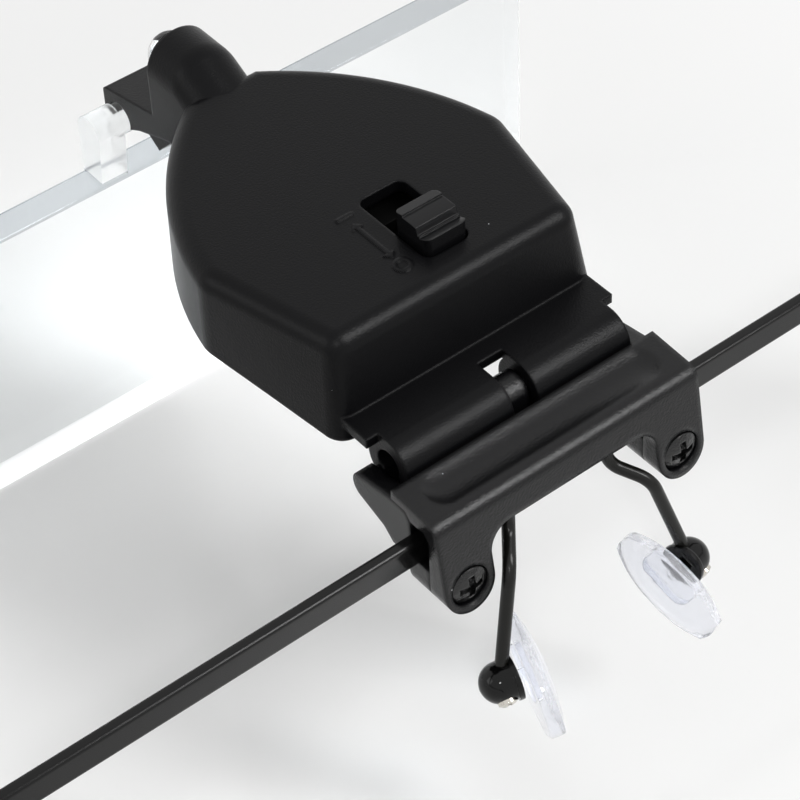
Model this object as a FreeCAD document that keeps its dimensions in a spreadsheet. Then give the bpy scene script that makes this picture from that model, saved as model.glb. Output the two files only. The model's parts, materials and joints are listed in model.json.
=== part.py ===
import FreeCAD, Part
import math
import os
import Sketcher

# Magnifying glasses with a lamp: a flat steel brow bar with folding temples and nose pads,
# a two-part clamp pinched on the bar, a moulded lamp housing that flips up on the clamp,
# and a clear rectangular lens that snaps into the housing's bracket.
# X is to the wearer's right, Y forward, Z up. Heights and depths are written from the middle
# of the brow bar, and every sub-part is then placed so that the origin is under the object.

os.makedirs("parts", exist_ok=True)
doc = FreeCAD.newDocument("magnifying_glasses")
Vector = FreeCAD.Vector

SIZES = {
    # brow bar: a flat strip with its ends bent back
    "bar_depth": 1.3,
    "bar_height": 3.2,
    "bar_edge": 0.35,
    "bar_half_width": 67.0,
    "bar_corner": 4.0,
    "bar_return": 9.2,
    # temple hinge
    "hinge_gap": 0.3,
    "knuckle_radius": 1.25,
    "knuckle_height": 1.0,
    "knuckle_gap": 0.08,
    "leaf_length": 4.0,
    "leaf_depth": 0.7,
    "hinge_screw_radius": 0.5,
    "hinge_screw_head": 0.95,
    "hinge_screw_head_height": 0.45,
    "running_clearance": 0.05,
    # temple arms and sleeves
    "arm_depth": 1.2,
    "arm_height": 3.0,
    "arm_straight": 80.0,
    "ear_bend_radius": 28.0,
    "ear_bend_angle": 45.0,
    "arm_end_in_tip": 12.0,
    "tip_depth": 3.0,
    "tip_height": 5.0,
    "tip_lead": 14.0,
    "tip_fit": 0.02,
    "tip_round": 0.8,
    "rest_drop": 36.3,
    # clamp, rear half
    "clamp_half": 16.1,
    "plate_front": 3.4,
    "plate_top": 5.1,
    "plate_under": 3.95,
    "groove_rear": 1.9,
    "groove_rear_top": 4.75,
    "groove_radius": 4.5,
    "groove_depth": 0.55,
    "groove_ahead": 0.5,
    "groove_half": 12.1,
    "groove_end": 4.0,
    "bead_rear": 3.15,
    "bead_low": 3.7,
    "bead_radius": 1.3,
    "wall_rear": 4.85,
    "cavity_rear": 2.0,
    "cavity_top": 3.1,
    "cavity_chamfer": 0.75,
    "arch_height": 1.1,
    "arch_corner": 2.6,
    "ear_radius": 2.9,
    "ear_drop": 3.63,
    "grip_inner": 8.4,
    "grip_outer": 12.6,
    # clamp, front half
    "front_ear_reach": 1.0,
    "front_step": 0.7,
    "joint_gap": 0.05,
    "nose_reach": 9.05,
    "nose_top": 3.05,
    "nose_low": 0.5,
    "nose_low_back": 0.85,
    "belly_front": 4.7,
    "belly_front_low": 0.8,
    "belly_rear": 3.4,
    "belly_low": 2.0,
    "nose_radius": 1.6,
    # clamp screws
    "screw_head_radius": 2.05,
    "screw_head_height": 1.35,
    "screw_crown": 0.55,
    "counterbore_radius": 2.2,
    "counterbore_depth": 1.5,
    "screw_radius": 1.0,
    "screw_length": 4.6,
    "cross_width": 0.75,
    "cross_length": 2.7,
    "cross_depth": 0.8,
    # flip hinge
    "flip_ahead": 6.75,
    "flip_height": 4.2,
    "barrel_radius": 3.0,
    "barrel_half": 13.7,
    "barrel_gap": 3.0,
    "gap_shift": 0.6,
    "pin_radius": 1.5,
    "pin_inset": 2.4,
    "cradle_clearance": 0.4,
    "cheek_clearance": 0.4,
    "lug_clearance": 0.3,
    "lug_radius": 2.0,
    "mouth_width": 2.4,
    "mouth_tilt": 18.0,
    # lamp housing
    "flange_half": 15.1,
    "flange_thick": 1.1,
    "flange_rear": 8.1,
    "rear_low_half": 15.9,
    "rear_low_ahead": 11.1,
    "rear_top_half": 14.5,
    "rear_top_ahead": 12.8,
    "side_low_half": 18.9,
    "side_low_ahead": 28.0,
    "side_top_half": 18.4,
    "side_top_ahead": 28.6,
    "flank_radius": 36.0,
    "neck_half": 3.9,
    "front_half": 4.4,
    "neck_ahead": 51.0,
    "housing_top": 15.6,
    "housing_low": 4.6,
    "housing_front_low": 6.3,
    "housing_wall": 1.5,
    "top_wall": 1.4,
    "top_round": 2.0,
    "rear_corner_round": 2.2,
    "side_corner_round": 3.5,
    # hood of the lamp
    "hood_front": 58.2,
    "hood_shoulder": 53.5,
    "hood_crown": 4.0,
    "hood_axis": 14.2,
    "hood_back": 48.6,
    "hood_back_axis": 11.6,
    # snap bracket
    "bracket_front": 67.8,
    "bracket_front_top": 7.2,
    "bracket_rear_top": 9.0,
    "socket_ahead": 64.9,
    "socket_height": 4.5,
    "lens_bar_radius": 1.75,
    "socket_fit": 0.06,
    "lip_drop": 0.8,
    "hump_drop": 0.6,
    "ramp_ahead": 61.3,
    "ramp_height": 4.9,
    "tooth_ahead": 58.9,
    "tooth_height": 3.3,
    "tooth_rear": 56.2,
    "tooth_rear_height": 6.1,
    "tooth_inset": 0.7,
    "notch_ahead": 55.5,
    "notch_height": 7.0,
    "throat_ahead": 51.7,
    "throat_height": 5.9,
    # switch
    "slot_shift": 1.8,
    "slot_width": 5.5,
    "slot_rear": 16.2,
    "slot_length": 10.9,
    "slot_round": 1.0,
    "knob_fit": 0.3,
    "knob_length": 5.0,
    "knob_rise": 2.7,
    "knob_bevel": 1.2,
    "knob_fall": 0.25,
    "knob_step": 0.8,
    "knob_tread": 1.5,
    "knob_round": 0.6,
    "knob_flange": 1.0,
    "knob_flange_thick": 0.7,
    "knob_peg": 1.2,
    "switch_height": 2.9,
    "switch_width": 7.0,
    "rib_thick": 1.0,
    "mark_height": 0.15,
    "mark_stroke": 0.45,
    "mark_length": 2.0,
    "mark_from_slot": 2.2,
    # base and battery door
    "base_thick": 1.3,
    "base_fit": 0.1,
    "door_half": 9.4,
    "door_tab_radius": 2.0,
    "door_ledge": 0.6,
    "door_fit": 0.15,
    "small_screw_radius": 0.7,
    "small_screw_head": 1.3,
    "small_screw_head_height": 0.7,
    "small_screw_crown": 0.3,
    "small_screw_length": 4.0,
    "base_screw_across": 11.5,
    "base_screw_ahead": 15.6,
    "boss_radius": 1.9,
    "door_screw_ahead": 45.6,
    # cells and contacts
    "cell_radius": 8.0,
    "cell_height": 2.0,
    "cell_step": 0.9,
    "cell_ahead": 36.4,
    "contact_thick": 0.25,
    "contact_gap": 0.3,
    "contact_width": 6.0,
    # lamp and its circuit
    "led_radius": 2.5,
    "led_body": 3.9,
    "led_back": 55.4,
    "collar_wall": 0.55,
    "collar_reach": 1.1,
    "lead_width": 0.5,
    "lead_spread": 2.54,
    "lead_bend": 1.5,
    "lead_drop": 2.6,
    "tunnel_radius": 2.6,
    "resistor_radius": 0.85,
    "resistor_length": 3.6,
    # lens
    "lens_half": 50.4,
    "lens_thick": 3.8,
    "lens_ahead": 65.4,
    "lens_top": 2.0,
    "lens_corner": 1.2,
    "lens_edge": 0.25,
    "lens_ear_outer": 8.0,
    "lens_ear_width": 3.3,
    # nose pads
    "wire_radius": 0.67,
    "wire_across": 6.1,
    "wire_top": 1.0,
    "wire_bend_drop": 2.7,
    "wire_bend_radius": 2.2,
    "wire_elbow_across": 8.9,
    "wire_elbow_back": 4.8,
    "wire_elbow_drop": 4.3,
    "wire_elbow_radius": 3.0,
    "pad_across": 12.2,
    "pad_back": 7.1,
    "pad_drop": 15.9,
    "pad_yaw": -76.8,
    "pad_pitch": 31.7,
    "pad_roll": 82.0,
    "box_radius": 2.1,
    "box_rim": 2.35,
    "box_rim_thick": 0.5,
    "box_rim_rise": 1.65,
    "box_slot": 1.5,
    "box_slot_reach": 1.3,
    "box_boss": 1.15,
    "pad_screw_radius": 0.4,
    "pad_head_out": 1.75,
    "pad_screw_head": 1.0,
    "pad_screw_head_height": 0.7,
    "insert_thick": 0.7,
    "insert_length": 6.0,
    "insert_width": 3.0,
    "insert_lug": 0.9,
    "insert_lug_half": 0.8,
    "pad_stand": 2.5,
    "pad_length": 13.4,
    "pad_width": 7.6,
    "pad_thick": 2.4,
    "pad_sag": 1.2,
    "pad_round": 0.8,
    "overrun": 5.0,
}

sheet = doc.addObject("Spreadsheet::Sheet", "Sizes")
for row, (alias, amount) in enumerate(SIZES.items(), start=1):
    sheet.set(f"A{row}", alias)
    sheet.set(f"B{row}", str(amount))
    sheet.setAlias(f"B{row}", alias)
doc.recompute()


class Size:
    """A length or an angle: its value now, and the sheet formula that gives it."""

    def __init__(self, value, text):
        self.value = value
        self.text = text

    def __add__(self, other):
        other = size_of(other)
        return Size(self.value + other.value, f"({self.text} + {other.text})")

    def __sub__(self, other):
        other = size_of(other)
        return Size(self.value - other.value, f"({self.text} - {other.text})")

    def __mul__(self, share):
        share = size_of(share)
        return Size(self.value * share.value, f"({self.text} * {share.text})")

    def __truediv__(self, share):
        share = size_of(share)
        return Size(self.value / share.value, f"({self.text} / {share.text})")

    def __neg__(self):
        return Size(-self.value, f"(0 - {self.text})")

    __radd__ = __add__
    __rmul__ = __mul__

    def root(self):
        return Size(math.sqrt(self.value), f"sqrt({self.text})")

    def sine(self):
        return Size(math.sin(math.radians(self.value)), f"sin({self.text} * 1 deg)")

    def cosine(self):
        return Size(math.cos(math.radians(self.value)), f"cos({self.text} * 1 deg)")


def size_of(number):
    return number if isinstance(number, Size) else Size(number, repr(number))


class Sheet:
    pass


s = Sheet()
for alias, amount in SIZES.items():
    setattr(s, alias, Size(amount, "Sizes." + alias))

# Where the object stands: the floor is under the lens and the temple tips, and the origin is
# midway between the bracket's front and the rearmost point of the temple tips.
bend_drop = s.ear_bend_radius * (size_of(1) - s.ear_bend_angle.cosine())
bend_run = s.ear_bend_radius * s.ear_bend_angle.sine()
tip_end_drop = s.rest_drop - s.tip_height / 2
tip_slope_length = (tip_end_drop - bend_drop) / s.ear_bend_angle.sine()
tip_end_back = (s.bar_return + s.hinge_gap + s.arm_straight + bend_run
                + tip_slope_length * s.ear_bend_angle.cosine())
object_rear = tip_end_back + s.tip_height / 2
object_front = s.lens_ahead + s.lens_thick / 2
origin_ahead = (object_rear - object_front) / 2
origin_up = s.rest_drop


def place(item, across=0, ahead=0, up=0, angles=None):
    """Place a sub-part, given from the middle of the bar, in the object's frame."""
    if angles:
        item.Placement = FreeCAD.Placement(Vector(), FreeCAD.Rotation(*[a.value for a in angles]))
    item.setExpression("Placement.Base.x", size_of(across).text)
    item.setExpression("Placement.Base.y", (origin_ahead + ahead).text)
    item.setExpression("Placement.Base.z", (origin_up + up).text)


def new_body(label):
    body = doc.addObject("PartDesign::Body", "Body_" + label)
    body.Label = label
    return body


def new_sketch(body, plane, offset=None):
    sketch = body.newObject("Sketcher::SketchObject", "Sketch")
    origin_plane = [f for f in body.Origin.OriginFeatures if f.Role == plane + "_Plane"][0]
    sketch.AttachmentSupport = [(origin_plane, "")]
    sketch.MapMode = "FlatFace"
    if offset is not None:
        sketch.setExpression("AttachmentOffset.Base.z", size_of(offset).text)
    return sketch


def hold_point(sketch, edge, end, across, up):
    """Tie one end of an edge to its place in the sheet."""
    for axis, other_axis, amount in (("DistanceX", -2, across), ("DistanceY", -1, up)):
        if abs(amount.value) < 1e-9:
            sketch.addConstraint(Sketcher.Constraint("PointOnObject", edge, end, other_axis))
        else:
            number = sketch.addConstraint(
                Sketcher.Constraint(axis, -1, 1, edge, end, amount.value))
            sketch.setExpression(f"Constraints[{number}]", amount.text)


def arc_between(start, end, radius, turn):
    """Arc of less than half a circle, with its centre to the left or right of the way."""
    chord = end - start
    half = chord.Length / 2
    reach = math.sqrt(max(radius * radius - half * half, 0))
    side = Vector(-chord.y, chord.x, 0).normalize()
    centre = (start + end) / 2 + side * (reach if turn == "left" else -reach)
    first, last = (start, end) if turn == "left" else (end, start)
    begin = math.atan2(first.y - centre.y, first.x - centre.x)
    finish = math.atan2(last.y - centre.y, last.x - centre.x)
    while finish <= begin:
        finish += 2 * math.pi
    return Part.ArcOfCircle(Part.Circle(centre, Vector(0, 0, 1), radius), begin, finish)


def draw_outline(sketch, outline):
    """Closed outline. A point is (across, up), or (across, up, radius, turn) at an arc's end."""
    points = [(size_of(p[0]), size_of(p[1])) + tuple(p[2:]) for p in outline]
    ends = []
    first_edge = sketch.GeometryCount
    for before, point in zip(points, points[1:] + points[:1]):
        start = Vector(before[0].value, before[1].value, 0)
        end = Vector(point[0].value, point[1].value, 0)
        if len(point) == 2:
            sketch.addGeometry(Part.LineSegment(start, end), False)
            ends.append((1, 2))
        else:
            sketch.addGeometry(arc_between(start, end, point[2].value, point[3]), False)
            ends.append((1, 2) if point[3] == "left" else (2, 1))
    for i, (begin, finish) in enumerate(ends):
        following = (i + 1) % len(ends)
        sketch.addConstraint(Sketcher.Constraint("Coincident", first_edge + i, finish,
                                                 first_edge + following, ends[following][0]))
    for i, point in enumerate(points):
        hold_point(sketch, first_edge + i, ends[i][0], point[0], point[1])
        ahead = points[(i + 1) % len(points)]
        if len(ahead) > 2:
            number = sketch.addConstraint(
                Sketcher.Constraint("Radius", first_edge + i, ahead[2].value))
            sketch.setExpression(f"Constraints[{number}]", ahead[2].text)
    return sketch


def draw_circle(sketch, across, up, radius):
    across, up = size_of(across), size_of(up)
    circle = Part.Circle(Vector(across.value, up.value, 0), Vector(0, 0, 1), radius.value)
    edge = sketch.addGeometry(circle, False)
    hold_point(sketch, edge, 3, across, up)
    number = sketch.addConstraint(Sketcher.Constraint("Radius", edge, radius.value))
    sketch.setExpression(f"Constraints[{number}]", radius.text)
    return sketch


def pad(body, sketch, length, midplane=False, reverse=False):
    """Add the sketched section, along the sketch's normal unless it is reversed."""
    feature = body.newObject("PartDesign::Pad", "Pad")
    feature.Profile = sketch
    feature.Midplane = midplane
    feature.Reversed = reverse
    feature.setExpression("Length", size_of(length).text)
    doc.recompute()
    return feature


def pocket(body, sketch, length, midplane=False, reverse=False):
    """Cut the sketched section, against the sketch's normal unless it is reversed."""
    before = body.Shape.Volume
    feature = body.newObject("PartDesign::Pocket", "Pocket")
    feature.Profile = sketch
    feature.Midplane = midplane
    feature.Reversed = reverse
    feature.setExpression("Length", size_of(length).text)
    doc.recompute()
    if body.Shape.Volume >= before:
        raise RuntimeError(f"a pocket of {body.Label} cuts nothing")
    return feature


def revolve(body, sketch):
    """Turn the sketched half section about the sketch's upright axis."""
    feature = body.newObject("PartDesign::Revolution", "Revolution")
    feature.Profile = sketch
    feature.ReferenceAxis = (sketch, ["V_Axis"])
    feature.Angle = 360
    doc.recompute()
    return feature


def turned_cut(body, sketch, up):
    """Cut the half section turned about the sketch's level axis, raised to a height."""
    before = body.Shape.Volume
    sketch.setExpression("AttachmentOffset.Base.y", up.text)
    feature = body.newObject("PartDesign::Groove", "Groove")
    feature.Profile = sketch
    feature.ReferenceAxis = (sketch, ["H_Axis"])
    feature.Angle = 360
    doc.recompute()
    if body.Shape.Volume >= before:
        raise RuntimeError(f"a turned cut of {body.Label} cuts nothing")
    return feature


def round_edges(body, chosen, radius):
    """Fillet the edges of the body's tip for which chosen(edge) holds."""
    base = body.Tip
    names = [f"Edge{i}" for i, edge in enumerate(base.Shape.Edges, start=1) if chosen(edge)]
    feature = body.newObject("PartDesign::Fillet", "Fillet")
    feature.Base = (base, names)
    feature.setExpression("Radius", radius.text)
    doc.recompute()
    return feature


def near(a, b, slack=0.01):
    return abs(a - size_of(b).value) < slack


def mirrored(label, source):
    """The left-hand twin of a right-hand sub-part."""
    twin = doc.addObject("Part::Mirroring", "Mirror_" + label)
    twin.Label = label
    twin.Source = source
    twin.Normal = Vector(1, 0, 0)
    twin.Base = Vector(0, 0, 0)
    return twin


sub_parts = []


def keep(*items):
    sub_parts.extend(items)


def pair(right, name):
    """Keep a right-hand sub-part and its left-hand twin."""
    keep(right, mirrored(name + "_left", right))


def cross_recess_screw(label, head_radius, head_height, crown, radius, length,
                       cross_width, cross_length, cross_depth):
    """Pan-head screw that points down its own Z axis, with the head's seat at zero."""
    body = new_body(label)
    sketch = new_sketch(body, "XZ")
    edge_height = head_height - crown
    crown_radius = (head_radius * head_radius + crown * crown) / (crown * 2)
    draw_outline(sketch, [
        (0, -length),
        (radius * 0.5, -length),
        (radius, -length + radius * 0.6),
        (radius, 0),
        (head_radius, 0),
        (head_radius, edge_height),
        (0, head_height, crown_radius, "left"),
    ])
    revolve(body, sketch)
    cross = new_sketch(body, "XY", head_height - cross_depth)
    arm = cross_length / 2
    half = cross_width / 2
    draw_outline(cross, [
        (-arm, -half), (-half, -half), (-half, -arm), (half, -arm),
        (half, -half), (arm, -half), (arm, half), (half, half),
        (half, arm), (-half, arm), (-half, half), (-arm, half),
    ])
    pocket(body, cross, cross_depth * 2, reverse=True)
    return body


# Brow bar: one flat strip, bent back at both ends

half_depth = s.bar_depth / 2
inner_corner = s.bar_corner - s.bar_depth
outer = s.bar_half_width
inner = s.bar_half_width - s.bar_depth
bar = new_body("brow_bar")
bar_outline = new_sketch(bar, "XY")
draw_outline(bar_outline, [
    (-outer, -s.bar_return),
    (-inner, -s.bar_return),
    (-inner, half_depth - s.bar_corner),
    (-outer + s.bar_corner, -half_depth, inner_corner, "right"),
    (outer - s.bar_corner, -half_depth),
    (inner, half_depth - s.bar_corner, inner_corner, "right"),
    (inner, -s.bar_return),
    (outer, -s.bar_return),
    (outer, half_depth - s.bar_corner),
    (outer - s.bar_corner, half_depth, s.bar_corner, "left"),
    (-outer + s.bar_corner, half_depth),
    (-outer, half_depth - s.bar_corner, s.bar_corner, "left"),
])
pad(bar, bar_outline, s.bar_height, midplane=True)
round_edges(bar, lambda e: near(abs(e.CenterOfMass.z), s.bar_height / 2)
            and e.CenterOfMass.y > -s.bar_return.value + s.bar_edge.value, s.bar_edge)
place(bar)
keep(bar)

# Rear half of the clamp: grooved top plate, slanted wall, two ears for the screws

clamp_low = s.ear_drop + s.ear_radius
rear = new_body("clamp_rear")
rear_section = new_sketch(rear, "YZ")
draw_outline(rear_section, [
    (s.plate_front, s.plate_under),
    (s.plate_front - s.joint_gap, s.plate_top),
    (-s.groove_rear, s.groove_rear_top),
    (-s.bead_rear, s.bead_low, s.bead_radius, "left"),
    (-s.wall_rear, -clamp_low),
    (-s.cavity_rear, -clamp_low),
    (-s.cavity_rear, s.cavity_top - s.cavity_chamfer),
    (-s.cavity_rear + s.cavity_chamfer, s.cavity_top),
    (half_depth, s.cavity_top),
    (half_depth + s.front_step, s.plate_under),
])
pad(rear, rear_section, s.clamp_half * 2, midplane=True)
dish = new_sketch(rear, "XZ", -s.groove_ahead)
dish_end = s.groove_half + s.groove_end
draw_outline(dish, [
    (-dish_end, 0),
    (-dish_end, s.groove_end - s.groove_radius),
    (-s.groove_half, -s.groove_radius, s.groove_end, "left"),
    (s.groove_half, -s.groove_radius),
    (dish_end, s.groove_end - s.groove_radius, s.groove_end, "left"),
    (dish_end, 0),
])
turned_cut(rear, dish, (s.plate_top + s.groove_rear_top) / 2 - s.groove_depth + s.groove_radius)
ear_inner = s.clamp_half - s.ear_radius * 2
screw_across = s.clamp_half - s.ear_radius
below = clamp_low + s.overrun
outside = s.clamp_half + s.overrun
rear_arch = new_sketch(rear, "XZ")
draw_outline(rear_arch, [
    (-outside, -below),
    (outside, -below),
    (outside, -s.ear_drop),
    (s.clamp_half, -s.ear_drop),
    (screw_across, -clamp_low, s.ear_radius, "right"),
    (ear_inner, -s.ear_drop, s.ear_radius, "right"),
    (ear_inner, s.arch_height - s.arch_corner),
    (ear_inner - s.arch_corner, s.arch_height, s.arch_corner, "left"),
    (-ear_inner + s.arch_corner, s.arch_height),
    (-ear_inner, s.arch_height - s.arch_corner, s.arch_corner, "left"),
    (-ear_inner, -s.ear_drop),
    (-screw_across, -clamp_low, s.ear_radius, "right"),
    (-s.clamp_half, -s.ear_drop, s.ear_radius, "right"),
    (-outside, -s.ear_drop),
])
pocket(rear, rear_arch, s.overrun * 4, midplane=True)
for side in (-1, 1):
    grip = new_sketch(rear, "XZ", s.cavity_rear + s.joint_gap)
    left = s.grip_inner * side if side > 0 else -s.grip_outer
    right = s.grip_outer * side if side > 0 else -s.grip_inner
    draw_outline(grip, [
        (left, 0), (right, 0), (right, s.cavity_top), (left, s.cavity_top),
    ])
    pad(rear, grip, s.cavity_rear + s.joint_gap - half_depth, reverse=True)
head_plane = s.wall_rear - s.counterbore_depth
bores = new_sketch(rear, "XZ", head_plane + s.overrun)
draw_circle(bores, -screw_across, -s.ear_drop, s.counterbore_radius)
draw_circle(bores, screw_across, -s.ear_drop, s.counterbore_radius)
pocket(rear, bores, s.overrun)
holes = new_sketch(rear, "XZ", head_plane + s.overrun)
draw_circle(holes, -screw_across, -s.ear_drop, s.screw_radius + s.running_clearance)
draw_circle(holes, screw_across, -s.ear_drop, s.screw_radius + s.running_clearance)
pocket(rear, holes, s.overrun * 2)
place(rear)
keep(rear)

# Front half of the clamp: nose, cradle for the barrels, lug for the pin, two ears

front = new_body("clamp_front")
front_section = new_sketch(front, "YZ")
draw_outline(front_section, [
    (half_depth, -s.belly_low),
    (s.belly_rear, -s.belly_low),
    (s.belly_front, -s.belly_front_low),
    (s.nose_reach - s.nose_low_back, s.nose_low),
    (s.nose_reach - s.nose_low_back * 0.3, s.nose_top, s.nose_radius, "left"),
    (s.plate_front + s.joint_gap, s.plate_under - s.joint_gap),
    (half_depth + s.front_step + s.joint_gap, s.plate_under - s.joint_gap),
    (half_depth + s.joint_gap, s.cavity_top - s.joint_gap),
    (half_depth, s.cavity_top - s.front_step),
])
pad(front, front_section, s.clamp_half * 2, midplane=True)
ear_y = s.cavity_rear - s.joint_gap
for side in (-1, 1):
    ear = new_sketch(front, "XZ", ear_y)
    inner_x = ear_inner * side
    outer_x = s.clamp_half * side
    left, right = (inner_x, outer_x) if side > 0 else (outer_x, inner_x)
    draw_outline(ear, [
        (left, -s.ear_drop),
        (screw_across * side, -clamp_low, s.ear_radius, "left"),
        (right, -s.ear_drop, s.ear_radius, "left"),
        (right, -s.bar_height / 2),
        (left, -s.bar_height / 2),
    ])
    pad(front, ear, ear_y + s.front_ear_reach, reverse=True)
cradle = new_sketch(front, "YZ")
draw_circle(cradle, s.flip_ahead, s.flip_height, s.barrel_radius + s.cradle_clearance)
cradle_half = s.barrel_half + s.cheek_clearance
pocket(front, cradle, cradle_half * 2, midplane=True)
lug_width = s.barrel_gap - s.lug_clearance * 2
lug = new_sketch(front, "YZ", s.gap_shift - lug_width / 2)
draw_outline(lug, [
    (s.belly_front, s.nose_low - s.front_step),
    (s.nose_reach - s.nose_low_back, s.nose_low + s.front_step * 0.5),
    (s.flip_ahead + s.lug_radius, s.flip_height),
    (s.flip_ahead, s.flip_height + s.lug_radius, s.lug_radius, "left"),
    (s.flip_ahead - s.lug_radius, s.flip_height, s.lug_radius, "left"),
])
pad(front, lug, lug_width)
pin_hole = new_sketch(front, "YZ", s.gap_shift)
draw_circle(pin_hole, s.flip_ahead, s.flip_height, s.pin_radius)
pocket(front, pin_hole, lug_width * 2, midplane=True)
pilot = new_sketch(front, "XZ", ear_y + s.overrun)
draw_circle(pilot, -screw_across, -s.ear_drop, s.screw_radius)
draw_circle(pilot, screw_across, -s.ear_drop, s.screw_radius)
pocket(front, pilot, s.overrun + s.screw_length - (head_plane - ear_y))
place(front)
keep(front)

# Screws of the clamp, heads to the rear

for side, hand in ((-1, "left"), (1, "right")):
    screw = cross_recess_screw("clamp_screw_" + hand, s.screw_head_radius, s.screw_head_height,
                               s.screw_crown, s.screw_radius, s.screw_length,
                               s.cross_width, s.cross_length, s.cross_depth)
    quarter_turn = [size_of(0), size_of(0), size_of(90)]
    place(screw, screw_across * side, -head_plane, -s.ear_drop, quarter_turn)
    keep(screw)

# Pin of the flip hinge

pin_half = s.barrel_half - s.pin_inset
pin = doc.addObject("Part::Cylinder", "Cylinder_hinge_pin")
pin.Label = "hinge_pin"
pin.setExpression("Radius", s.pin_radius.text)
pin.setExpression("Height", (pin_half * 2).text)
pin.Placement = FreeCAD.Placement(Vector(), FreeCAD.Rotation(Vector(0, 1, 0), 90))
place(pin, -pin_half, s.flip_ahead, s.flip_height)
keep(pin)

# Lamp housing: moulded shell with hinge barrels, hood of the lamp and snap bracket


def shell_outline(rear_half, rear_ahead, side_half, side_ahead, inset=0):
    """Outline of the housing from above, drawn in by a wall where it is hollow."""
    inset = size_of(inset)
    neck = s.front_half - inset * neck_inset_share
    neck_front = s.neck_ahead - inset * neck_front_share
    side = side_half - inset
    rear_y = rear_ahead + inset
    rear_x = rear_half - inset
    return [
        (-rear_x, rear_y),
        (rear_x, rear_y),
        (side, side_ahead),
        (neck, neck_front, s.flank_radius, "left"),
        (-neck, neck_front),
        (-side, side_ahead, s.flank_radius, "left"),
    ]


neck_inset_share = 0.3
neck_front_share = 1.6
low_outline = (s.rear_low_half, s.rear_low_ahead, s.side_low_half, s.side_low_ahead)
top_outline = (s.rear_top_half, s.rear_top_ahead, s.side_top_half, s.side_top_ahead)
roof = s.housing_top - s.top_wall


def loft(body, kind, low_sketch, top_sketch):
    feature = body.newObject("PartDesign::" + kind, kind)
    feature.Profile = low_sketch
    feature.Sections = [(top_sketch, [""])]
    feature.Ruled = True
    doc.recompute()
    return feature


def under_profile(step):
    """Line of the housing's bent underside, raised by a step."""
    far = s.hood_front + s.overrun
    return [
        (s.rear_low_ahead - s.overrun, s.housing_low + step),
        (s.rear_low_ahead, s.housing_low + step),
        (s.side_low_ahead, s.housing_front_low + step),
        (far, s.housing_front_low + step),
    ]


housing = new_body("lamp_housing")
low = draw_outline(new_sketch(housing, "XY", s.housing_low), shell_outline(*low_outline))
top = draw_outline(new_sketch(housing, "XY", s.housing_top), shell_outline(*top_outline))
loft(housing, "AdditiveLoft", low, top)
underside = new_sketch(housing, "YZ")
draw_outline(underside, under_profile(0) + [
    (s.hood_front + s.overrun, s.housing_low - s.overrun),
    (s.rear_low_ahead - s.overrun, s.housing_low - s.overrun),
])
pocket(housing, underside, (s.side_low_half + s.overrun) * 2, midplane=True)
half_tall = (s.housing_top - s.housing_low).value / 2


def upright(edge, rearward):
    box = edge.BoundBox
    behind = edge.CenterOfMass.y < (s.rear_low_ahead + s.side_low_ahead).value / 2
    along = box.YMax < (s.neck_ahead - s.overrun).value
    return box.ZLength > half_tall and along and behind == rearward


round_edges(housing, lambda e: upright(e, True), s.rear_corner_round)
round_edges(housing, lambda e: upright(e, False), s.side_corner_round)
round_edges(housing, lambda e: near(e.BoundBox.ZMin, s.housing_top), s.top_round)
inner_low = new_sketch(housing, "XY", s.housing_low)
draw_outline(inner_low, shell_outline(*low_outline, s.housing_wall))
inner_top = new_sketch(housing, "XY", roof)
draw_outline(inner_top, shell_outline(*top_outline, s.housing_wall))
loft(housing, "SubtractiveLoft", inner_low, inner_top)

# Neck with the cheeks of the snap bracket, the tooth, and the hood

socket_radius = s.lens_bar_radius + s.socket_fit
lip_reach = (socket_radius * socket_radius - s.lip_drop * s.lip_drop).root()
hump_reach = (socket_radius * socket_radius - s.hump_drop * s.hump_drop).root()
neck = new_sketch(housing, "YZ")
draw_outline(neck, [
    (s.hood_back, s.housing_front_low),
    (s.throat_ahead, s.throat_height),
    (s.notch_ahead, s.notch_height),
    (s.ramp_ahead, s.ramp_height),
    (s.socket_ahead - hump_reach, s.socket_height - s.hump_drop),
    (s.socket_ahead - socket_radius, s.socket_height, socket_radius, "right"),
    (s.socket_ahead, s.socket_height + socket_radius, socket_radius, "right"),
    (s.socket_ahead + socket_radius, s.socket_height, socket_radius, "right"),
    (s.socket_ahead + lip_reach, s.socket_height - s.lip_drop, socket_radius, "right"),
    (s.bracket_front, s.socket_height - s.lip_drop),
    (s.bracket_front, s.bracket_front_top - s.tooth_inset),
    (s.bracket_front - s.tooth_inset, s.bracket_front_top, s.tooth_inset, "left"),
    (s.hood_front, s.bracket_rear_top),
    (s.hood_front, s.hood_axis),
    (s.hood_shoulder, s.hood_axis),
    (s.hood_back, s.hood_back_axis),
])
pad(housing, neck, s.neck_half * 2, midplane=True)
tooth = new_sketch(housing, "YZ")
draw_outline(tooth, [
    (s.notch_ahead, s.notch_height + s.tooth_inset),
    (s.tooth_rear, s.tooth_rear_height),
    (s.tooth_ahead, s.tooth_height),
    (s.ramp_ahead, s.ramp_height),
    (s.ramp_ahead, s.notch_height + s.tooth_inset),
])
pad(housing, tooth, (s.neck_half - s.tooth_inset) * 2, midplane=True)
arch = new_sketch(housing, "XZ", -s.hood_front)
draw_outline(arch, [
    (-s.neck_half, s.hood_axis, s.neck_half, "left"),
    (s.neck_half, s.hood_axis),
    (0, s.hood_axis + s.neck_half, s.neck_half, "left"),
])
pad(housing, arch, s.hood_front - s.hood_shoulder)
hood_back = draw_circle(new_sketch(housing, "XZ", -s.hood_back),
                        0, s.hood_back_axis, s.neck_half)
hood_front = draw_circle(new_sketch(housing, "XZ", -s.hood_shoulder),
                         0, s.hood_axis, s.neck_half)
loft(housing, "AdditiveLoft", hood_back, hood_front)
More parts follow.
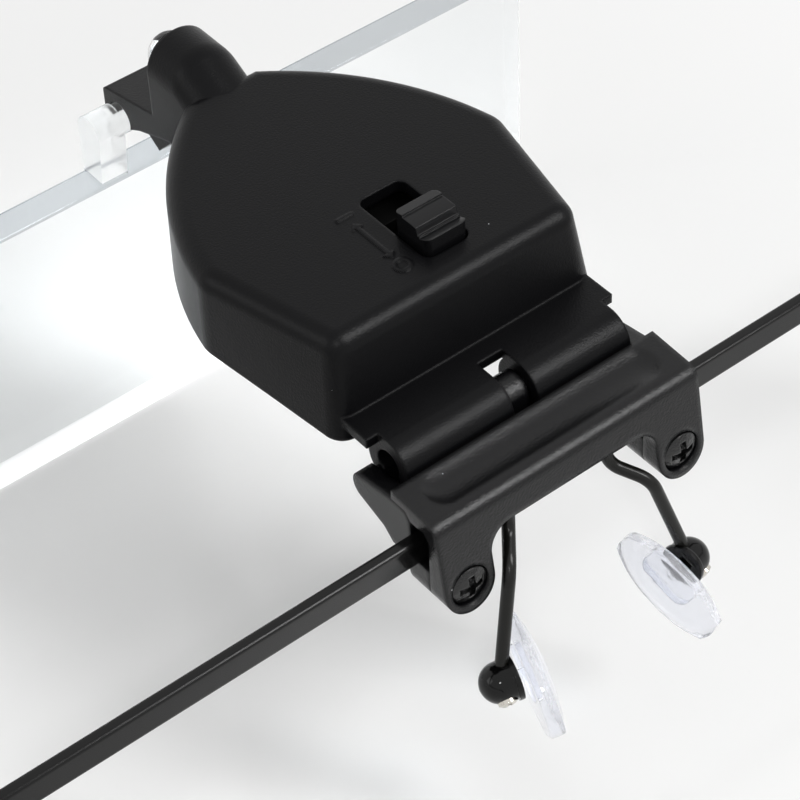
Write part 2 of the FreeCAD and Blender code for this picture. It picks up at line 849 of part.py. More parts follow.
round_edges(housing, lambda e: near(e.BoundBox.YLength, 0)
            and near(e.CenterOfMass.y, s.hood_shoulder)
            and e.CenterOfMass.z > s.hood_axis.value, s.hood_crown)

# Flange and barrels of the flip hinge

flange_top = s.flip_height + s.barrel_radius
flange_low = flange_top - s.flange_thick
flange = new_sketch(housing, "YZ")
draw_outline(flange, [
    (s.flange_rear, flange_low),
    (s.rear_low_ahead + s.housing_wall * 0.9, flange_low),
    (s.rear_low_ahead + s.housing_wall * 0.9, flange_top),
    (s.flange_rear, flange_top),
])
pad(housing, flange, s.flange_half * 2, midplane=True)
gap_left = s.gap_shift - s.barrel_gap / 2
gap_right = s.gap_shift + s.barrel_gap / 2
under_flange = s.barrel_radius - s.flange_thick
sheet_reach = (s.barrel_radius * s.barrel_radius - under_flange * under_flange).root()
for start, length in ((-s.barrel_half, gap_left + s.barrel_half),
                      (gap_right, s.barrel_half - gap_right)):
    barrel = new_sketch(housing, "YZ", start)
    draw_outline(barrel, [
        (s.flip_ahead, flange_top, s.barrel_radius, "right"),
        (s.flange_rear + s.flange_thick, flange_top),
        (s.flange_rear + s.flange_thick, flange_low),
        (s.flip_ahead + sheet_reach, flange_low),
        (s.flip_ahead + s.barrel_radius, s.flip_height, s.barrel_radius, "right"),
        (s.flip_ahead, s.flip_height - s.barrel_radius, s.barrel_radius, "right"),
        (s.flip_ahead - s.barrel_radius, s.flip_height, s.barrel_radius, "right"),
    ])
    pad(housing, barrel, length)
notch = new_sketch(housing, "XY", flange_top + s.overrun)
notch_front = s.flange_rear + s.flange_thick
draw_outline(notch, [
    (gap_left, s.flip_ahead), (gap_right, s.flip_ahead),
    (gap_right, notch_front), (gap_left, notch_front),
])
pocket(housing, notch, s.overrun * 2)
bore = new_sketch(housing, "YZ")
draw_circle(bore, s.flip_ahead, s.flip_height, s.pin_radius + s.running_clearance)
pocket(housing, bore, s.barrel_half * 2, midplane=True)

mouth = new_sketch(housing, "YZ")
mouth_half = s.mouth_width / 2
mouth_reach = s.barrel_radius + s.overrun
mouth_lean, mouth_fall = s.mouth_tilt.sine(), s.mouth_tilt.cosine()
mouth_ahead = s.flip_ahead - mouth_reach * mouth_lean
mouth_up = s.flip_height - mouth_reach * mouth_fall
draw_outline(mouth, [
    (s.flip_ahead - mouth_half * mouth_fall, s.flip_height + mouth_half * mouth_lean),
    (mouth_ahead - mouth_half * mouth_fall, mouth_up + mouth_half * mouth_lean),
    (mouth_ahead + mouth_half * mouth_fall, mouth_up - mouth_half * mouth_lean),
    (s.flip_ahead + mouth_half * mouth_fall, s.flip_height - mouth_half * mouth_lean),
])
pocket(housing, mouth, s.barrel_half * 2, midplane=True)

# Openings of the housing: bore of the lamp, way of its leads, slot of the switch

led_bore = new_sketch(housing, "XZ", -s.led_back)
draw_circle(led_bore, 0, s.hood_axis, s.led_radius + s.running_clearance)
pocket(housing, led_bore, s.overrun * 2)
lead_room = new_sketch(housing, "XZ", -s.led_back + s.lead_bend + s.lead_width)
draw_circle(lead_room, 0, s.hood_axis, s.lead_spread / 2 + s.lead_width * 0.8)
pocket(housing, lead_room, s.lead_bend + s.lead_width)
tunnel_rear = s.neck_ahead - s.housing_wall * 2
lead_up = s.hood_axis - s.lead_drop
tunnel = new_sketch(housing, "XZ", -tunnel_rear)
draw_circle(tunnel, 0, lead_up, s.tunnel_radius)
pocket(housing, tunnel, s.led_back - tunnel_rear)
slot_half = s.slot_width / 2
slot_front = s.slot_rear + s.slot_length


def rounded_rectangle(left, right, rear_y, front_y, radius):
    return [
        (left + radius, rear_y),
        (right - radius, rear_y),
        (right, rear_y + radius, radius, "left"),
        (right, front_y - radius),
        (right - radius, front_y, radius, "left"),
        (left + radius, front_y),
        (left, front_y - radius, radius, "left"),
        (left, rear_y + radius),
        (left + radius, rear_y, radius, "left"),
    ][1:]


slot = new_sketch(housing, "XY", s.housing_top)
draw_outline(slot, rounded_rectangle(s.slot_shift - slot_half, s.slot_shift + slot_half,
                                     s.slot_rear, slot_front, s.slot_round))
pocket(housing, slot, s.top_wall * 2)

# Inside the housing: ribs beside the switch, ribs over the cells, bosses of the base screws

switch_top = roof - s.knob_fit * 2 - s.knob_flange_thick
rib_low = switch_top - s.rib_thick * 0.4
switch_left = s.slot_shift - s.switch_width / 2
switch_right = s.slot_shift + s.switch_width / 2
switch_rear = s.slot_rear - s.knob_flange
switch_front = slot_front + s.knob_flange
cell_low = s.housing_front_low + s.base_thick + s.contact_thick + s.contact_gap
cell_top = cell_low + s.cell_height * 2
rib_outlines = [
    (switch_left, switch_right, switch_rear - s.rib_thick, switch_rear, rib_low),
    (switch_left, switch_right, switch_front, switch_front + s.rib_thick, rib_low),
    (-s.contact_width / 2, s.contact_width / 2, s.cell_ahead - s.rib_thick / 2,
     s.cell_ahead + s.rib_thick / 2, cell_top + s.contact_thick),
]
for left, right, rear_y, front_y, low_z in rib_outlines:
    rib = new_sketch(housing, "XY", low_z)
    draw_outline(rib, [(left, rear_y), (right, rear_y), (right, front_y), (left, front_y)])
    pad(housing, rib, roof - low_z + s.joint_gap)
base_rise = ((s.housing_front_low - s.housing_low)
             * ((s.base_screw_ahead - s.rear_low_ahead) / (s.side_low_ahead - s.rear_low_ahead)))
base_top = s.housing_low + base_rise + s.base_thick
for side in (-1, 1):
    boss = new_sketch(housing, "XY", base_top + s.knob_fit)
    draw_circle(boss, s.base_screw_across * side, s.base_screw_ahead, s.boss_radius)
    pad(housing, boss, roof - base_top - s.knob_fit + s.joint_gap)
    pilot = new_sketch(housing, "XY", base_top)
    draw_circle(pilot, s.base_screw_across * side, s.base_screw_ahead, s.small_screw_radius)
    pocket(housing, pilot, s.small_screw_length, reverse=True)
mark_across = s.slot_shift - slot_half - s.mark_from_slot
stroke = s.mark_stroke / 2
reach = s.mark_length / 2
off_ahead = s.slot_rear + reach
on_ahead = slot_front - reach
mid_ahead = (off_ahead + on_ahead) / 2
on_mark = new_sketch(housing, "XY", s.housing_top)
draw_outline(on_mark, [
    (mark_across - reach, on_ahead - stroke), (mark_across + reach, on_ahead - stroke),
    (mark_across + reach, on_ahead + stroke), (mark_across - reach, on_ahead + stroke),
])
pad(housing, on_mark, s.mark_height)
off_mark = new_sketch(housing, "XY", s.housing_top)
draw_circle(off_mark, mark_across, off_ahead, reach)
draw_circle(off_mark, mark_across, off_ahead, reach - stroke * 2)
pad(housing, off_mark, s.mark_height)
arrow = new_sketch(housing, "XY", s.housing_top)
arrow_half = (on_ahead - off_ahead) / 2 - reach * 1.3
arrow_neck = arrow_half - reach * 0.8
draw_outline(arrow, [
    (mark_across, mid_ahead - arrow_half),
    (mark_across + reach * 0.7, mid_ahead - arrow_neck),
    (mark_across + stroke, mid_ahead - arrow_neck),
    (mark_across + stroke, mid_ahead + arrow_neck),
    (mark_across + reach * 0.7, mid_ahead + arrow_neck),
    (mark_across, mid_ahead + arrow_half),
    (mark_across - reach * 0.7, mid_ahead + arrow_neck),
    (mark_across - stroke, mid_ahead + arrow_neck),
    (mark_across - stroke, mid_ahead - arrow_neck),
    (mark_across - reach * 0.7, mid_ahead - arrow_neck),
])
pad(housing, arrow, s.mark_height)
place(housing)
keep(housing)

# Base: plate that follows the bent underside, with the round way to the cells

base = new_body("lamp_base")
base_inset = s.housing_wall + s.base_fit
low = draw_outline(new_sketch(base, "XY", s.housing_low), shell_outline(*low_outline, base_inset))
top = draw_outline(new_sketch(base, "XY", s.housing_top), shell_outline(*top_outline, base_inset))
loft(base, "AdditiveLoft", low, top)
wide_enough = (s.side_low_half + s.overrun) * 2
underside = new_sketch(base, "YZ")
draw_outline(underside, under_profile(0) + [
    (s.hood_front + s.overrun, s.housing_low - s.overrun),
    (s.rear_low_ahead - s.overrun, s.housing_low - s.overrun),
])
pocket(base, underside, wide_enough, midplane=True)
upper_side = new_sketch(base, "YZ")
draw_outline(upper_side, under_profile(s.base_thick)[::-1] + [
    (s.rear_low_ahead - s.overrun, s.housing_top + s.overrun),
    (s.hood_front + s.overrun, s.housing_top + s.overrun),
])
pocket(base, upper_side, wide_enough, midplane=True)
door_thick = s.base_thick - s.door_ledge
way = new_sketch(base, "XY", s.housing_front_low)
draw_circle(way, 0, s.cell_ahead, s.cell_radius + s.knob_fit)
pocket(base, way, s.base_thick * 2, reverse=True)
for centre, radius in ((s.cell_ahead, s.door_half + s.door_fit),
                       (s.door_screw_ahead, s.door_tab_radius + s.door_fit)):
    seat = new_sketch(base, "XY", s.housing_front_low)
    draw_circle(seat, 0, centre, radius)
    pocket(base, seat, door_thick, reverse=True)
for side in (-1, 1):
    hole = new_sketch(base, "XY", s.housing_low - s.overrun)
    draw_circle(hole, s.base_screw_across * side, s.base_screw_ahead,
                s.small_screw_radius + s.running_clearance)
    pocket(base, hole, s.overrun * 3, reverse=True)
    head = new_sketch(base, "XY", s.housing_low - s.overrun)
    draw_circle(head, s.base_screw_across * side, s.base_screw_ahead,
                s.small_screw_head + s.running_clearance)
    pocket(base, head, s.overrun + base_rise + s.small_screw_head_height, reverse=True)
door_hole = new_sketch(base, "XY", s.housing_front_low)
draw_circle(door_hole, 0, s.door_screw_ahead, s.small_screw_radius)
pocket(base, door_hole, s.overrun, reverse=True)
place(base)
keep(base)

door = new_body("battery_door")
for centre, radius in ((s.cell_ahead, s.door_half), (s.door_screw_ahead, s.door_tab_radius)):
    plate = new_sketch(door, "XY", s.housing_front_low)
    draw_circle(plate, 0, centre, radius)
    pad(door, plate, door_thick)
door_hole = new_sketch(door, "XY", s.housing_front_low - s.overrun)
draw_circle(door_hole, 0, s.door_screw_ahead, s.small_screw_radius + s.running_clearance)
pocket(door, door_hole, s.overrun * 2, reverse=True)
grip = new_sketch(door, "XY", s.housing_front_low)
draw_outline(grip, rounded_rectangle(-s.contact_width / 2, s.contact_width / 2,
                                     s.cell_ahead - s.cell_radius / 2 - s.rib_thick,
                                     s.cell_ahead - s.cell_radius / 2, s.rib_thick * 0.3))
pocket(door, grip, door_thick / 2, reverse=True)
place(door)
keep(door)

small_screws = (
    ("base_screw_left", -s.base_screw_across, s.base_screw_ahead,
     s.housing_low + base_rise + s.small_screw_head_height),
    ("base_screw_right", s.base_screw_across, s.base_screw_ahead,
     s.housing_low + base_rise + s.small_screw_head_height),
    ("door_screw", size_of(0), s.door_screw_ahead, s.housing_front_low),
)
upside_down = [size_of(0), size_of(0), size_of(180)]
for label, across, ahead, up in small_screws:
    screw = cross_recess_screw(label, s.small_screw_head, s.small_screw_head_height,
                               s.small_screw_crown, s.small_screw_radius,
                               s.small_screw_length - s.base_thick,
                               s.cross_width * 0.7, s.small_screw_head * 1.3,
                               s.small_screw_head_height * 0.6)
    place(screw, across, ahead, up, upside_down)
    keep(screw)

# Cells and contacts

cell_profile_top = s.cell_height - s.cell_step
for label, low_z in (("cell_lower", cell_low), ("cell_upper", cell_low + s.cell_height)):
    cell = new_body(label)
    sketch = new_sketch(cell, "XZ")
    button = s.cell_radius - s.cell_step
    draw_outline(sketch, [
        (0, 0), (button, 0), (button, s.cell_step / 2), (s.cell_radius, s.cell_step / 2),
        (s.cell_radius, s.cell_height), (0, s.cell_height),
    ])
    revolve(cell, sketch)
    place(cell, 0, s.cell_ahead, low_z)
    keep(cell)

contact_top = new_body("contact_top")
plate = new_sketch(contact_top, "XY", cell_top)
tongue = s.contact_width / 4
plate_rear = s.cell_ahead - s.cell_radius * 0.6
draw_outline(plate, [
    (s.slot_shift - tongue, switch_front),
    (s.slot_shift + tongue, switch_front),
    (s.slot_shift + tongue, plate_rear),
    (s.contact_width / 2 + tongue, plate_rear),
    (s.contact_width / 2 + tongue, s.cell_ahead + s.cell_radius * 0.6),
    (-s.contact_width / 2, s.cell_ahead + s.cell_radius * 0.6),
    (-s.contact_width / 2, plate_rear),
    (s.slot_shift - tongue, plate_rear),
])
pad(contact_top, plate, s.contact_thick)
place(contact_top)
keep(contact_top)

riser_ahead = s.cell_ahead + s.cell_radius + s.rib_thick * 2.5
base_upper = s.housing_front_low + s.base_thick
contact_bottom = new_body("contact_bottom")
leaf = new_sketch(contact_bottom, "YZ")
leaf_top = base_upper + s.contact_thick
draw_outline(leaf, [
    (s.cell_ahead, cell_low - s.contact_thick),
    (s.cell_ahead + s.contact_width * 0.3, cell_low - s.contact_thick),
    (s.cell_ahead + s.contact_width * 0.8, base_upper),
    (riser_ahead + s.contact_thick, base_upper),
    (riser_ahead + s.contact_thick, lead_up + s.lead_width),
    (riser_ahead, lead_up + s.lead_width),
    (riser_ahead, leaf_top),
    (s.cell_ahead + s.contact_width * 0.8, leaf_top),
    (s.cell_ahead + s.contact_width * 0.3, cell_low),
    (s.cell_ahead, cell_low),
])
pad(contact_bottom, leaf, s.contact_width / 3, midplane=True)
place(contact_bottom, -s.small_screw_radius - s.knob_fit - s.contact_width / 6)
keep(contact_bottom)

# Slide switch and its knob

switch = new_body("switch_body")
can = new_sketch(switch, "XY", switch_top)
draw_outline(can, [
    (switch_left, switch_rear + s.joint_gap), (switch_right, switch_rear + s.joint_gap),
    (switch_right, switch_front - s.joint_gap), (switch_left, switch_front - s.joint_gap),
])
pad(switch, can, s.switch_height, reverse=True)
peg_half = s.knob_peg / 2
knob_centre = s.slot_rear + s.knob_fit + s.knob_length / 2
travel = s.slot_length - s.knob_length - s.knob_fit * 2
groove = new_sketch(switch, "XY", switch_top)
draw_outline(groove, [
    (s.slot_shift - peg_half - s.knob_fit, knob_centre - peg_half - s.knob_fit),
    (s.slot_shift + peg_half + s.knob_fit, knob_centre - peg_half - s.knob_fit),
    (s.slot_shift + peg_half + s.knob_fit, knob_centre + travel + peg_half + s.knob_fit),
    (s.slot_shift - peg_half - s.knob_fit, knob_centre + travel + peg_half + s.knob_fit),
])
pocket(switch, groove, s.switch_height * 0.6)
for place_share in (0.2, 0.5, 0.8):
    leg = new_sketch(switch, "XY", switch_top - s.switch_height)
    leg_ahead = switch_rear + (switch_front - switch_rear) * place_share
    draw_outline(leg, [
        (s.slot_shift - s.lead_width / 2, leg_ahead - s.lead_width / 2),
        (s.slot_shift + s.lead_width / 2, leg_ahead - s.lead_width / 2),
        (s.slot_shift + s.lead_width / 2, leg_ahead + s.lead_width / 2),
        (s.slot_shift - s.lead_width / 2, leg_ahead + s.lead_width / 2),
    ])
    pad(switch, leg, s.knob_peg, reverse=True)
place(switch)
keep(switch)

knob = new_body("switch_knob")
knob_rear = s.slot_rear + s.knob_fit
knob_front = knob_rear + s.knob_length
wing_top = roof - s.knob_fit
wing_low = wing_top - s.knob_flange_thick
grip_top = s.housing_top + s.knob_rise
step_ahead = knob_rear + s.knob_tread
knob_side = new_sketch(knob, "YZ", s.slot_shift)
draw_outline(knob_side, [
    (knob_front, wing_top),
    (knob_front, grip_top - s.knob_fall),
    (knob_front - s.knob_bevel, grip_top),
    (step_ahead + s.knob_fall, grip_top - s.knob_fall),
    (step_ahead, grip_top - s.knob_fall - s.knob_step),
    (knob_rear, grip_top - s.knob_step),
    (knob_rear, wing_top),
])
pad(knob, knob_side, s.slot_width - s.knob_fit * 2, midplane=True)
round_edges(knob, lambda e: near(e.BoundBox.XLength, 0) and near(e.BoundBox.YLength, 0),
            s.knob_round)
wing = new_sketch(knob, "XY", wing_low)
draw_outline(wing, [
    (s.slot_shift - slot_half - s.knob_fit, knob_rear - s.knob_flange + s.knob_fit),
    (s.slot_shift + slot_half + s.knob_fit, knob_rear - s.knob_flange + s.knob_fit),
    (s.slot_shift + slot_half + s.knob_fit, knob_front + s.knob_flange - s.knob_fit),
    (s.slot_shift - slot_half - s.knob_fit, knob_front + s.knob_flange - s.knob_fit),
])
pad(knob, wing, s.knob_flange_thick)
peg = new_sketch(knob, "XY", wing_low)
draw_outline(peg, [
    (s.slot_shift - peg_half, knob_centre - peg_half),
    (s.slot_shift + peg_half, knob_centre - peg_half),
    (s.slot_shift + peg_half, knob_centre + peg_half),
    (s.slot_shift - peg_half, knob_centre + peg_half),
])
pad(knob, peg, s.knob_peg, reverse=True)
place(knob)
keep(knob)

# Lamp, its ring, resistor and strip

led = new_body("led")
glass = new_sketch(led, "XZ")
draw_outline(glass, [
    (0, 0), (s.led_radius, 0), (s.led_radius, s.led_body),
    (0, s.led_body + s.led_radius, s.led_radius, "left"),
])
revolve(led, glass)
resistor_front = tunnel_rear + s.resistor_radius
half = s.lead_width / 2
for side, lead_rear in ((-1, riser_ahead + s.contact_thick), (1, resistor_front)):
    lead_length = s.led_back - lead_rear
    lead = new_sketch(led, "YZ", s.lead_spread / 2 * side - half)
    draw_outline(lead, [
        (-half, 0), (-half, -s.lead_bend - half), (s.lead_drop - half, -s.lead_bend - half),
        (s.lead_drop - half, -lead_length), (s.lead_drop + half, -lead_length),
        (s.lead_drop + half, -s.lead_bend + half), (half, -s.lead_bend + half), (half, 0),
    ])
    pad(led, lead, s.lead_width)
forward = [size_of(0), size_of(0), size_of(-90)]
place(led, 0, s.led_back, s.hood_axis, forward)
keep(led)

collar = new_body("led_collar")
ring = new_sketch(collar, "XZ")
collar_inner = s.led_radius + s.running_clearance
collar_outer = collar_inner + s.collar_wall
draw_outline(ring, [
    (collar_inner, 0), (collar_outer, 0), (collar_outer, s.collar_reach - s.collar_wall / 2),
    (collar_outer - s.collar_wall / 2, s.collar_reach), (collar_inner, s.collar_reach),
])
revolve(collar, ring)
place(collar, 0, s.hood_front, s.hood_axis, forward)
keep(collar)

resistor = new_body("resistor")
bead = new_sketch(resistor, "XZ")
neck_radius = s.resistor_radius * 0.8
end_share = 0.22
draw_outline(bead, [
    (0, 0), (s.resistor_radius, 0), (s.resistor_radius, s.resistor_length * end_share),
    (neck_radius, s.resistor_length * (end_share + 0.08)),
    (neck_radius, s.resistor_length * (1 - end_share - 0.08)),
    (s.resistor_radius, s.resistor_length * (1 - end_share)),
    (s.resistor_radius, s.resistor_length), (0, s.resistor_length),
])
revolve(resistor, bead)
place(resistor, s.lead_spread / 2, resistor_front - s.resistor_length, lead_up, forward)
keep(resistor)

strip = new_body("lead_strip")
strip_low = switch_top - s.knob_fit
resistor_rear = resistor_front - s.resistor_length
run = new_sketch(strip, "XY", strip_low)
strip_side = switch_right + s.rib_thick * 0.8
draw_outline(run, [
    (switch_right, s.slot_rear + s.slot_length * 0.5),
    (strip_side, s.slot_rear + s.slot_length * 0.5),
    (strip_side, resistor_rear - s.rib_thick * 4),
    (s.lead_spread / 2 + s.lead_width, resistor_rear),
    (s.lead_spread / 2 - s.lead_width, resistor_rear),
    (s.lead_spread / 2 - s.lead_width, resistor_rear - s.rib_thick * 0.6),
    (switch_right, resistor_rear - s.rib_thick * 4.6),
])
pad(strip, run, s.contact_thick)
place(strip)
keep(strip)

# Lens: clear plate with two ears and the bar that snaps into the bracket

lens = new_body("lens_plate")
lens_low = s.rest_drop
ear_low = -s.lens_top - s.lens_corner
plate = new_sketch(lens, "XZ", -s.lens_ahead)
draw_outline(plate, rounded_rectangle(-s.lens_half, s.lens_half, -lens_low, -s.lens_top,
                                      s.lens_corner))
pad(lens, plate, s.lens_thick, midplane=True)
round_edges(lens, lambda e: near(abs(e.CenterOfMass.y - s.lens_ahead.value), s.lens_thick / 2),
            s.lens_edge)
head_radius = s.lens_bar_radius * 1.15
ear_inner_x = s.lens_ear_outer - s.lens_ear_width
for side in (-1, 1):
    tab = new_sketch(lens, "YZ", ear_inner_x if side > 0 else -s.lens_ear_outer)
    draw_outline(tab, [
        (s.lens_ahead - s.lens_thick / 2 + s.lens_edge, ear_low),
        (s.lens_ahead + s.lens_thick / 2 - s.lens_edge, ear_low),
        (s.socket_ahead + head_radius, s.socket_height),
        (s.socket_ahead, s.socket_height + head_radius, head_radius, "left"),
        (s.socket_ahead - head_radius, s.socket_height, head_radius, "left"),
    ])
    pad(lens, tab, s.lens_ear_width)
cross_bar = new_sketch(lens, "YZ")
draw_circle(cross_bar, s.socket_ahead, s.socket_height, s.lens_bar_radius)
pad(lens, cross_bar, (s.lens_ear_outer - s.lens_ear_width / 2) * 2, midplane=True)
place(lens)
keep(lens)

# Nose pads: each group is drawn round its pivot, with X along the pad and Z to the nose

pad_angles = [s.pad_yaw, s.pad_pitch, s.pad_roll]


def place_pad(item):
    place(item, s.pad_across, -s.pad_back, -s.pad_drop, pad_angles)


box = new_body("pad_box_right")
cup = new_sketch(box, "XZ")
draw_outline(cup, [
    (0, -s.box_radius),
    (s.box_radius, 0, s.box_radius, "left"),
    (s.box_radius, s.box_rim_rise - s.box_rim_thick),
    (s.box_rim, s.box_rim_rise - s.box_rim_thick),
    (s.box_rim, s.box_rim_rise),
    (0, s.box_rim_rise),
])
revolve(box, cup)
boss = new_sketch(box, "YZ")
draw_circle(boss, 0, 0, s.box_boss)
pad(box, boss, s.pad_head_out)
box_way = new_sketch(box, "XZ")
slot_x = s.box_slot / 2
draw_outline(box_way, [
    (-slot_x, -s.box_radius * 0.55), (slot_x, -s.box_radius * 0.55),
    (slot_x, s.box_radius + s.overrun), (-slot_x, s.box_radius + s.overrun),
])
pocket(box, box_way, s.box_slot_reach * 2, midplane=True)
pivot_hole = new_sketch(box, "YZ")
draw_circle(pivot_hole, 0, 0, s.pad_screw_radius)
pocket(box, pivot_hole, s.box_radius * 4, midplane=True)
head_seat = new_sketch(box, "YZ", s.pad_head_out)
draw_circle(head_seat, 0, 0, s.pad_screw_head + s.running_clearance)
pocket(box, head_seat, s.overrun, reverse=True)
place_pad(box)
pair(box, "pad_box")

screw = cross_recess_screw("pad_screw_right", s.pad_screw_head, s.pad_screw_head_height,
                           s.pad_screw_head_height * 0.4, s.pad_screw_radius,
                           s.pad_head_out + s.box_radius * 0.75, s.cross_width * 0.5,
                           s.pad_screw_head * 1.4, s.pad_screw_head_height * 0.6)
pad_turn = FreeCAD.Rotation(*[angle.value for angle in pad_angles])
screw.Placement = FreeCAD.Placement(Vector(), pad_turn.multiply(FreeCAD.Rotation(0, 90, 0)))
head_out = s.pad_head_out * s.pad_pitch.cosine()
place(screw, s.pad_across + head_out * s.pad_yaw.cosine(),
      -s.pad_back + head_out * s.pad_yaw.sine(),
      -s.pad_drop - s.pad_head_out * s.pad_pitch.sine())
pair(screw, "pad_screw")

insert = new_body("pad_insert_right")
plate_low = s.pad_stand
plate = new_sketch(insert, "XY", plate_low)
plate_end = s.insert_length / 2
plate_side = s.insert_width / 2
plate_shift = s.pad_sag / 2
draw_outline(plate, rounded_rectangle(-plate_end, plate_end, -plate_side - plate_shift,
                                      plate_side - plate_shift, plate_side * 0.8))
pad(insert, plate, s.insert_thick)
insert_lug = new_sketch(insert, "YZ")
draw_outline(insert_lug, [
    (-s.insert_lug_half, 0),
    (0, -s.insert_lug_half, s.insert_lug_half, "left"),
    (s.insert_lug_half, 0, s.insert_lug_half, "left"),
    (s.insert_lug_half, plate_low + s.insert_thick / 2),
    (-s.insert_lug_half, plate_low + s.insert_thick / 2),
])
pad(insert, insert_lug, s.insert_lug, midplane=True)
lug_hole = new_sketch(insert, "YZ")
draw_circle(lug_hole, 0, 0, s.pad_screw_radius + s.running_clearance)
pocket(insert, lug_hole, s.insert_lug * 2, midplane=True)
place_pad(insert)
pair(insert, "pad_insert")

cushion = new_body("nose_pad_right")
drop = new_sketch(cushion, "XY", plate_low)
pad_end = s.pad_length / 2
narrow = s.pad_width * 0.32
wide = s.pad_width / 2
taper = (wide - narrow) / (s.pad_length - wide - narrow)
spread = (size_of(1) - taper * taper).root()
narrow_x = -pad_end + narrow - narrow * taper
wide_x = pad_end - wide - wide * taper
draw_outline(drop, [
    (-pad_end, -s.pad_sag, narrow, "left"),
    (narrow_x, -s.pad_sag - narrow * spread, narrow, "left"),
    (wide_x, -s.pad_sag - wide * spread),
    (pad_end, -s.pad_sag, wide, "left"),
    (wide_x, -s.pad_sag + wide * spread, wide, "left"),
    (narrow_x, -s.pad_sag + narrow * spread),
])
pad(cushion, drop, s.pad_thick)
round_edges(cushion, lambda e: near(e.BoundBox.ZLength, 0), s.pad_round)
nest = new_sketch(cushion, "XY", plate_low)
nest_end = plate_end + s.tip_fit
draw_outline(nest, rounded_rectangle(-nest_end, nest_end, -plate_side - plate_shift - s.tip_fit,
                                     plate_side - plate_shift + s.tip_fit, plate_side * 0.8))
pocket(cushion, nest, s.insert_thick, reverse=True)
place_pad(cushion)
pair(cushion, "nose_pad")

# Nose wires, soldered behind the bar and bent to the pad boxes


def bent_rod(corners, radii, thickness):
    """Round rod of straight runs and tangent arcs through the given corners."""
    edges = []
    start = corners[0]
    for i, radius in enumerate(radii, start=1):
        before = (corners[i - 1] - corners[i]).normalize()
        after = (corners[i + 1] - corners[i]).normalize()
        half_angle = before.getAngle(after) / 2
        back = radius / math.tan(half_angle)
        inward = (before + after).normalize()
        middle = corners[i] + inward * (radius / math.sin(half_angle) - radius)
        begin = corners[i] + before * back
        end = corners[i] + after * back
        edges.append(Part.LineSegment(start, begin).toShape())
        edges.append(Part.Arc(begin, middle, end).toShape())
        start = end
    edges.append(Part.LineSegment(start, corners[-1]).toShape())
    path = Part.Wire(edges)
    first = corners[1] - corners[0]
    section = Part.Wire([Part.makeCircle(thickness, corners[0], first)])
    return path.makePipeShell([section], True, False)


wire_y = -half_depth - s.wire_radius
corner_sizes = [
    (s.wire_across, wire_y, s.wire_top),
    (s.wire_across, wire_y, -s.wire_bend_drop),
    (s.wire_elbow_across, -s.wire_elbow_back, -s.wire_elbow_drop),
    (s.pad_across, -s.pad_back, -s.pad_drop),
]
corners = [Vector(x.value, y.value, z.value) for x, y, z in corner_sizes]
pivot = corners[-1]
corners[-1] = pivot + (corners[-2] - pivot).normalize() * (s.box_radius.value * 0.9)
rod = bent_rod(corners, [s.wire_bend_radius.value, s.wire_elbow_radius.value],
               s.wire_radius.value)
solder_seat = box.Shape.copy()
solder_seat.Placement = FreeCAD.Placement(pivot, pad_turn)
wire = doc.addObject("Part::Feature", "Feature_nose_wire")
wire.Label = "nose_wire_right"
wire.Shape = rod.cut([solder_seat, Part.makeSphere(s.box_radius.value, pivot)])
place(wire)
pair(wire, "nose_wire")

# Temple hinges: leaf and two knuckles on the bar, one knuckle on the temple

hinge_across = inner - s.knuckle_radius - s.hinge_gap
hinge_back = s.bar_return + s.hinge_gap / 2
knuckle_reach = s.knuckle_radius + s.hinge_gap
outer_knuckle = s.knuckle_height / 2 + s.knuckle_gap
end_hinge = new_body("end_hinge_right")
leaf_rear = -hinge_back + knuckle_reach
leaf = new_sketch(end_hinge, "XY")
draw_outline(leaf, [
    (inner - s.leaf_depth, leaf_rear), (inner, leaf_rear),
    (inner, leaf_rear + s.leaf_length), (inner - s.leaf_depth, leaf_rear + s.leaf_length),
])
pad(end_hinge, leaf, (outer_knuckle + s.knuckle_height) * 2, midplane=True)
for low_z in (outer_knuckle, -outer_knuckle - s.knuckle_height):
    tongue_plan = new_sketch(end_hinge, "XY", low_z)
    draw_outline(tongue_plan, [
        (hinge_across + s.hinge_gap, -hinge_back), (inner, -hinge_back),
        (inner, leaf_rear + s.hinge_gap), (hinge_across + s.hinge_gap, leaf_rear + s.hinge_gap),
    ])
    pad(end_hinge, tongue_plan, s.knuckle_height)
    knuckle = new_sketch(end_hinge, "XY", low_z)
    draw_circle(knuckle, hinge_across, -hinge_back, s.knuckle_radius)
    pad(end_hinge, knuckle, s.knuckle_height)
screw_way = new_sketch(end_hinge, "XY")
draw_circle(screw_way, hinge_across, -hinge_back, s.hinge_screw_radius)
pocket(end_hinge, screw_way, s.overrun * 2, midplane=True)
place(end_hinge)
pair(end_hinge, "end_hinge")

screw = cross_recess_screw("temple_screw_right", s.hinge_screw_head, s.hinge_screw_head_height,
                           s.hinge_screw_head_height * 0.4, s.hinge_screw_radius,
                           (outer_knuckle + s.knuckle_height) * 2, s.cross_width * 0.5,
                           s.hinge_screw_head * 1.4, s.hinge_screw_head_height * 0.6)
place(screw, hinge_across, -hinge_back, outer_knuckle + s.knuckle_height)
pair(screw, "temple_screw")

# Temple arms and sleeves: flat strip along the side, bent down behind the ear

bend_back = s.bar_return + s.hinge_gap + s.arm_straight
lean, fall = s.ear_bend_angle.sine(), s.ear_bend_angle.cosine()


def at_bend_end(radius, slope):
    """Point of the bent strip at a radius from the bend's centre, further on by a slope."""
    return (-bend_back - radius * lean - slope * fall,
            -s.ear_bend_radius + radius * fall - slope * lean)


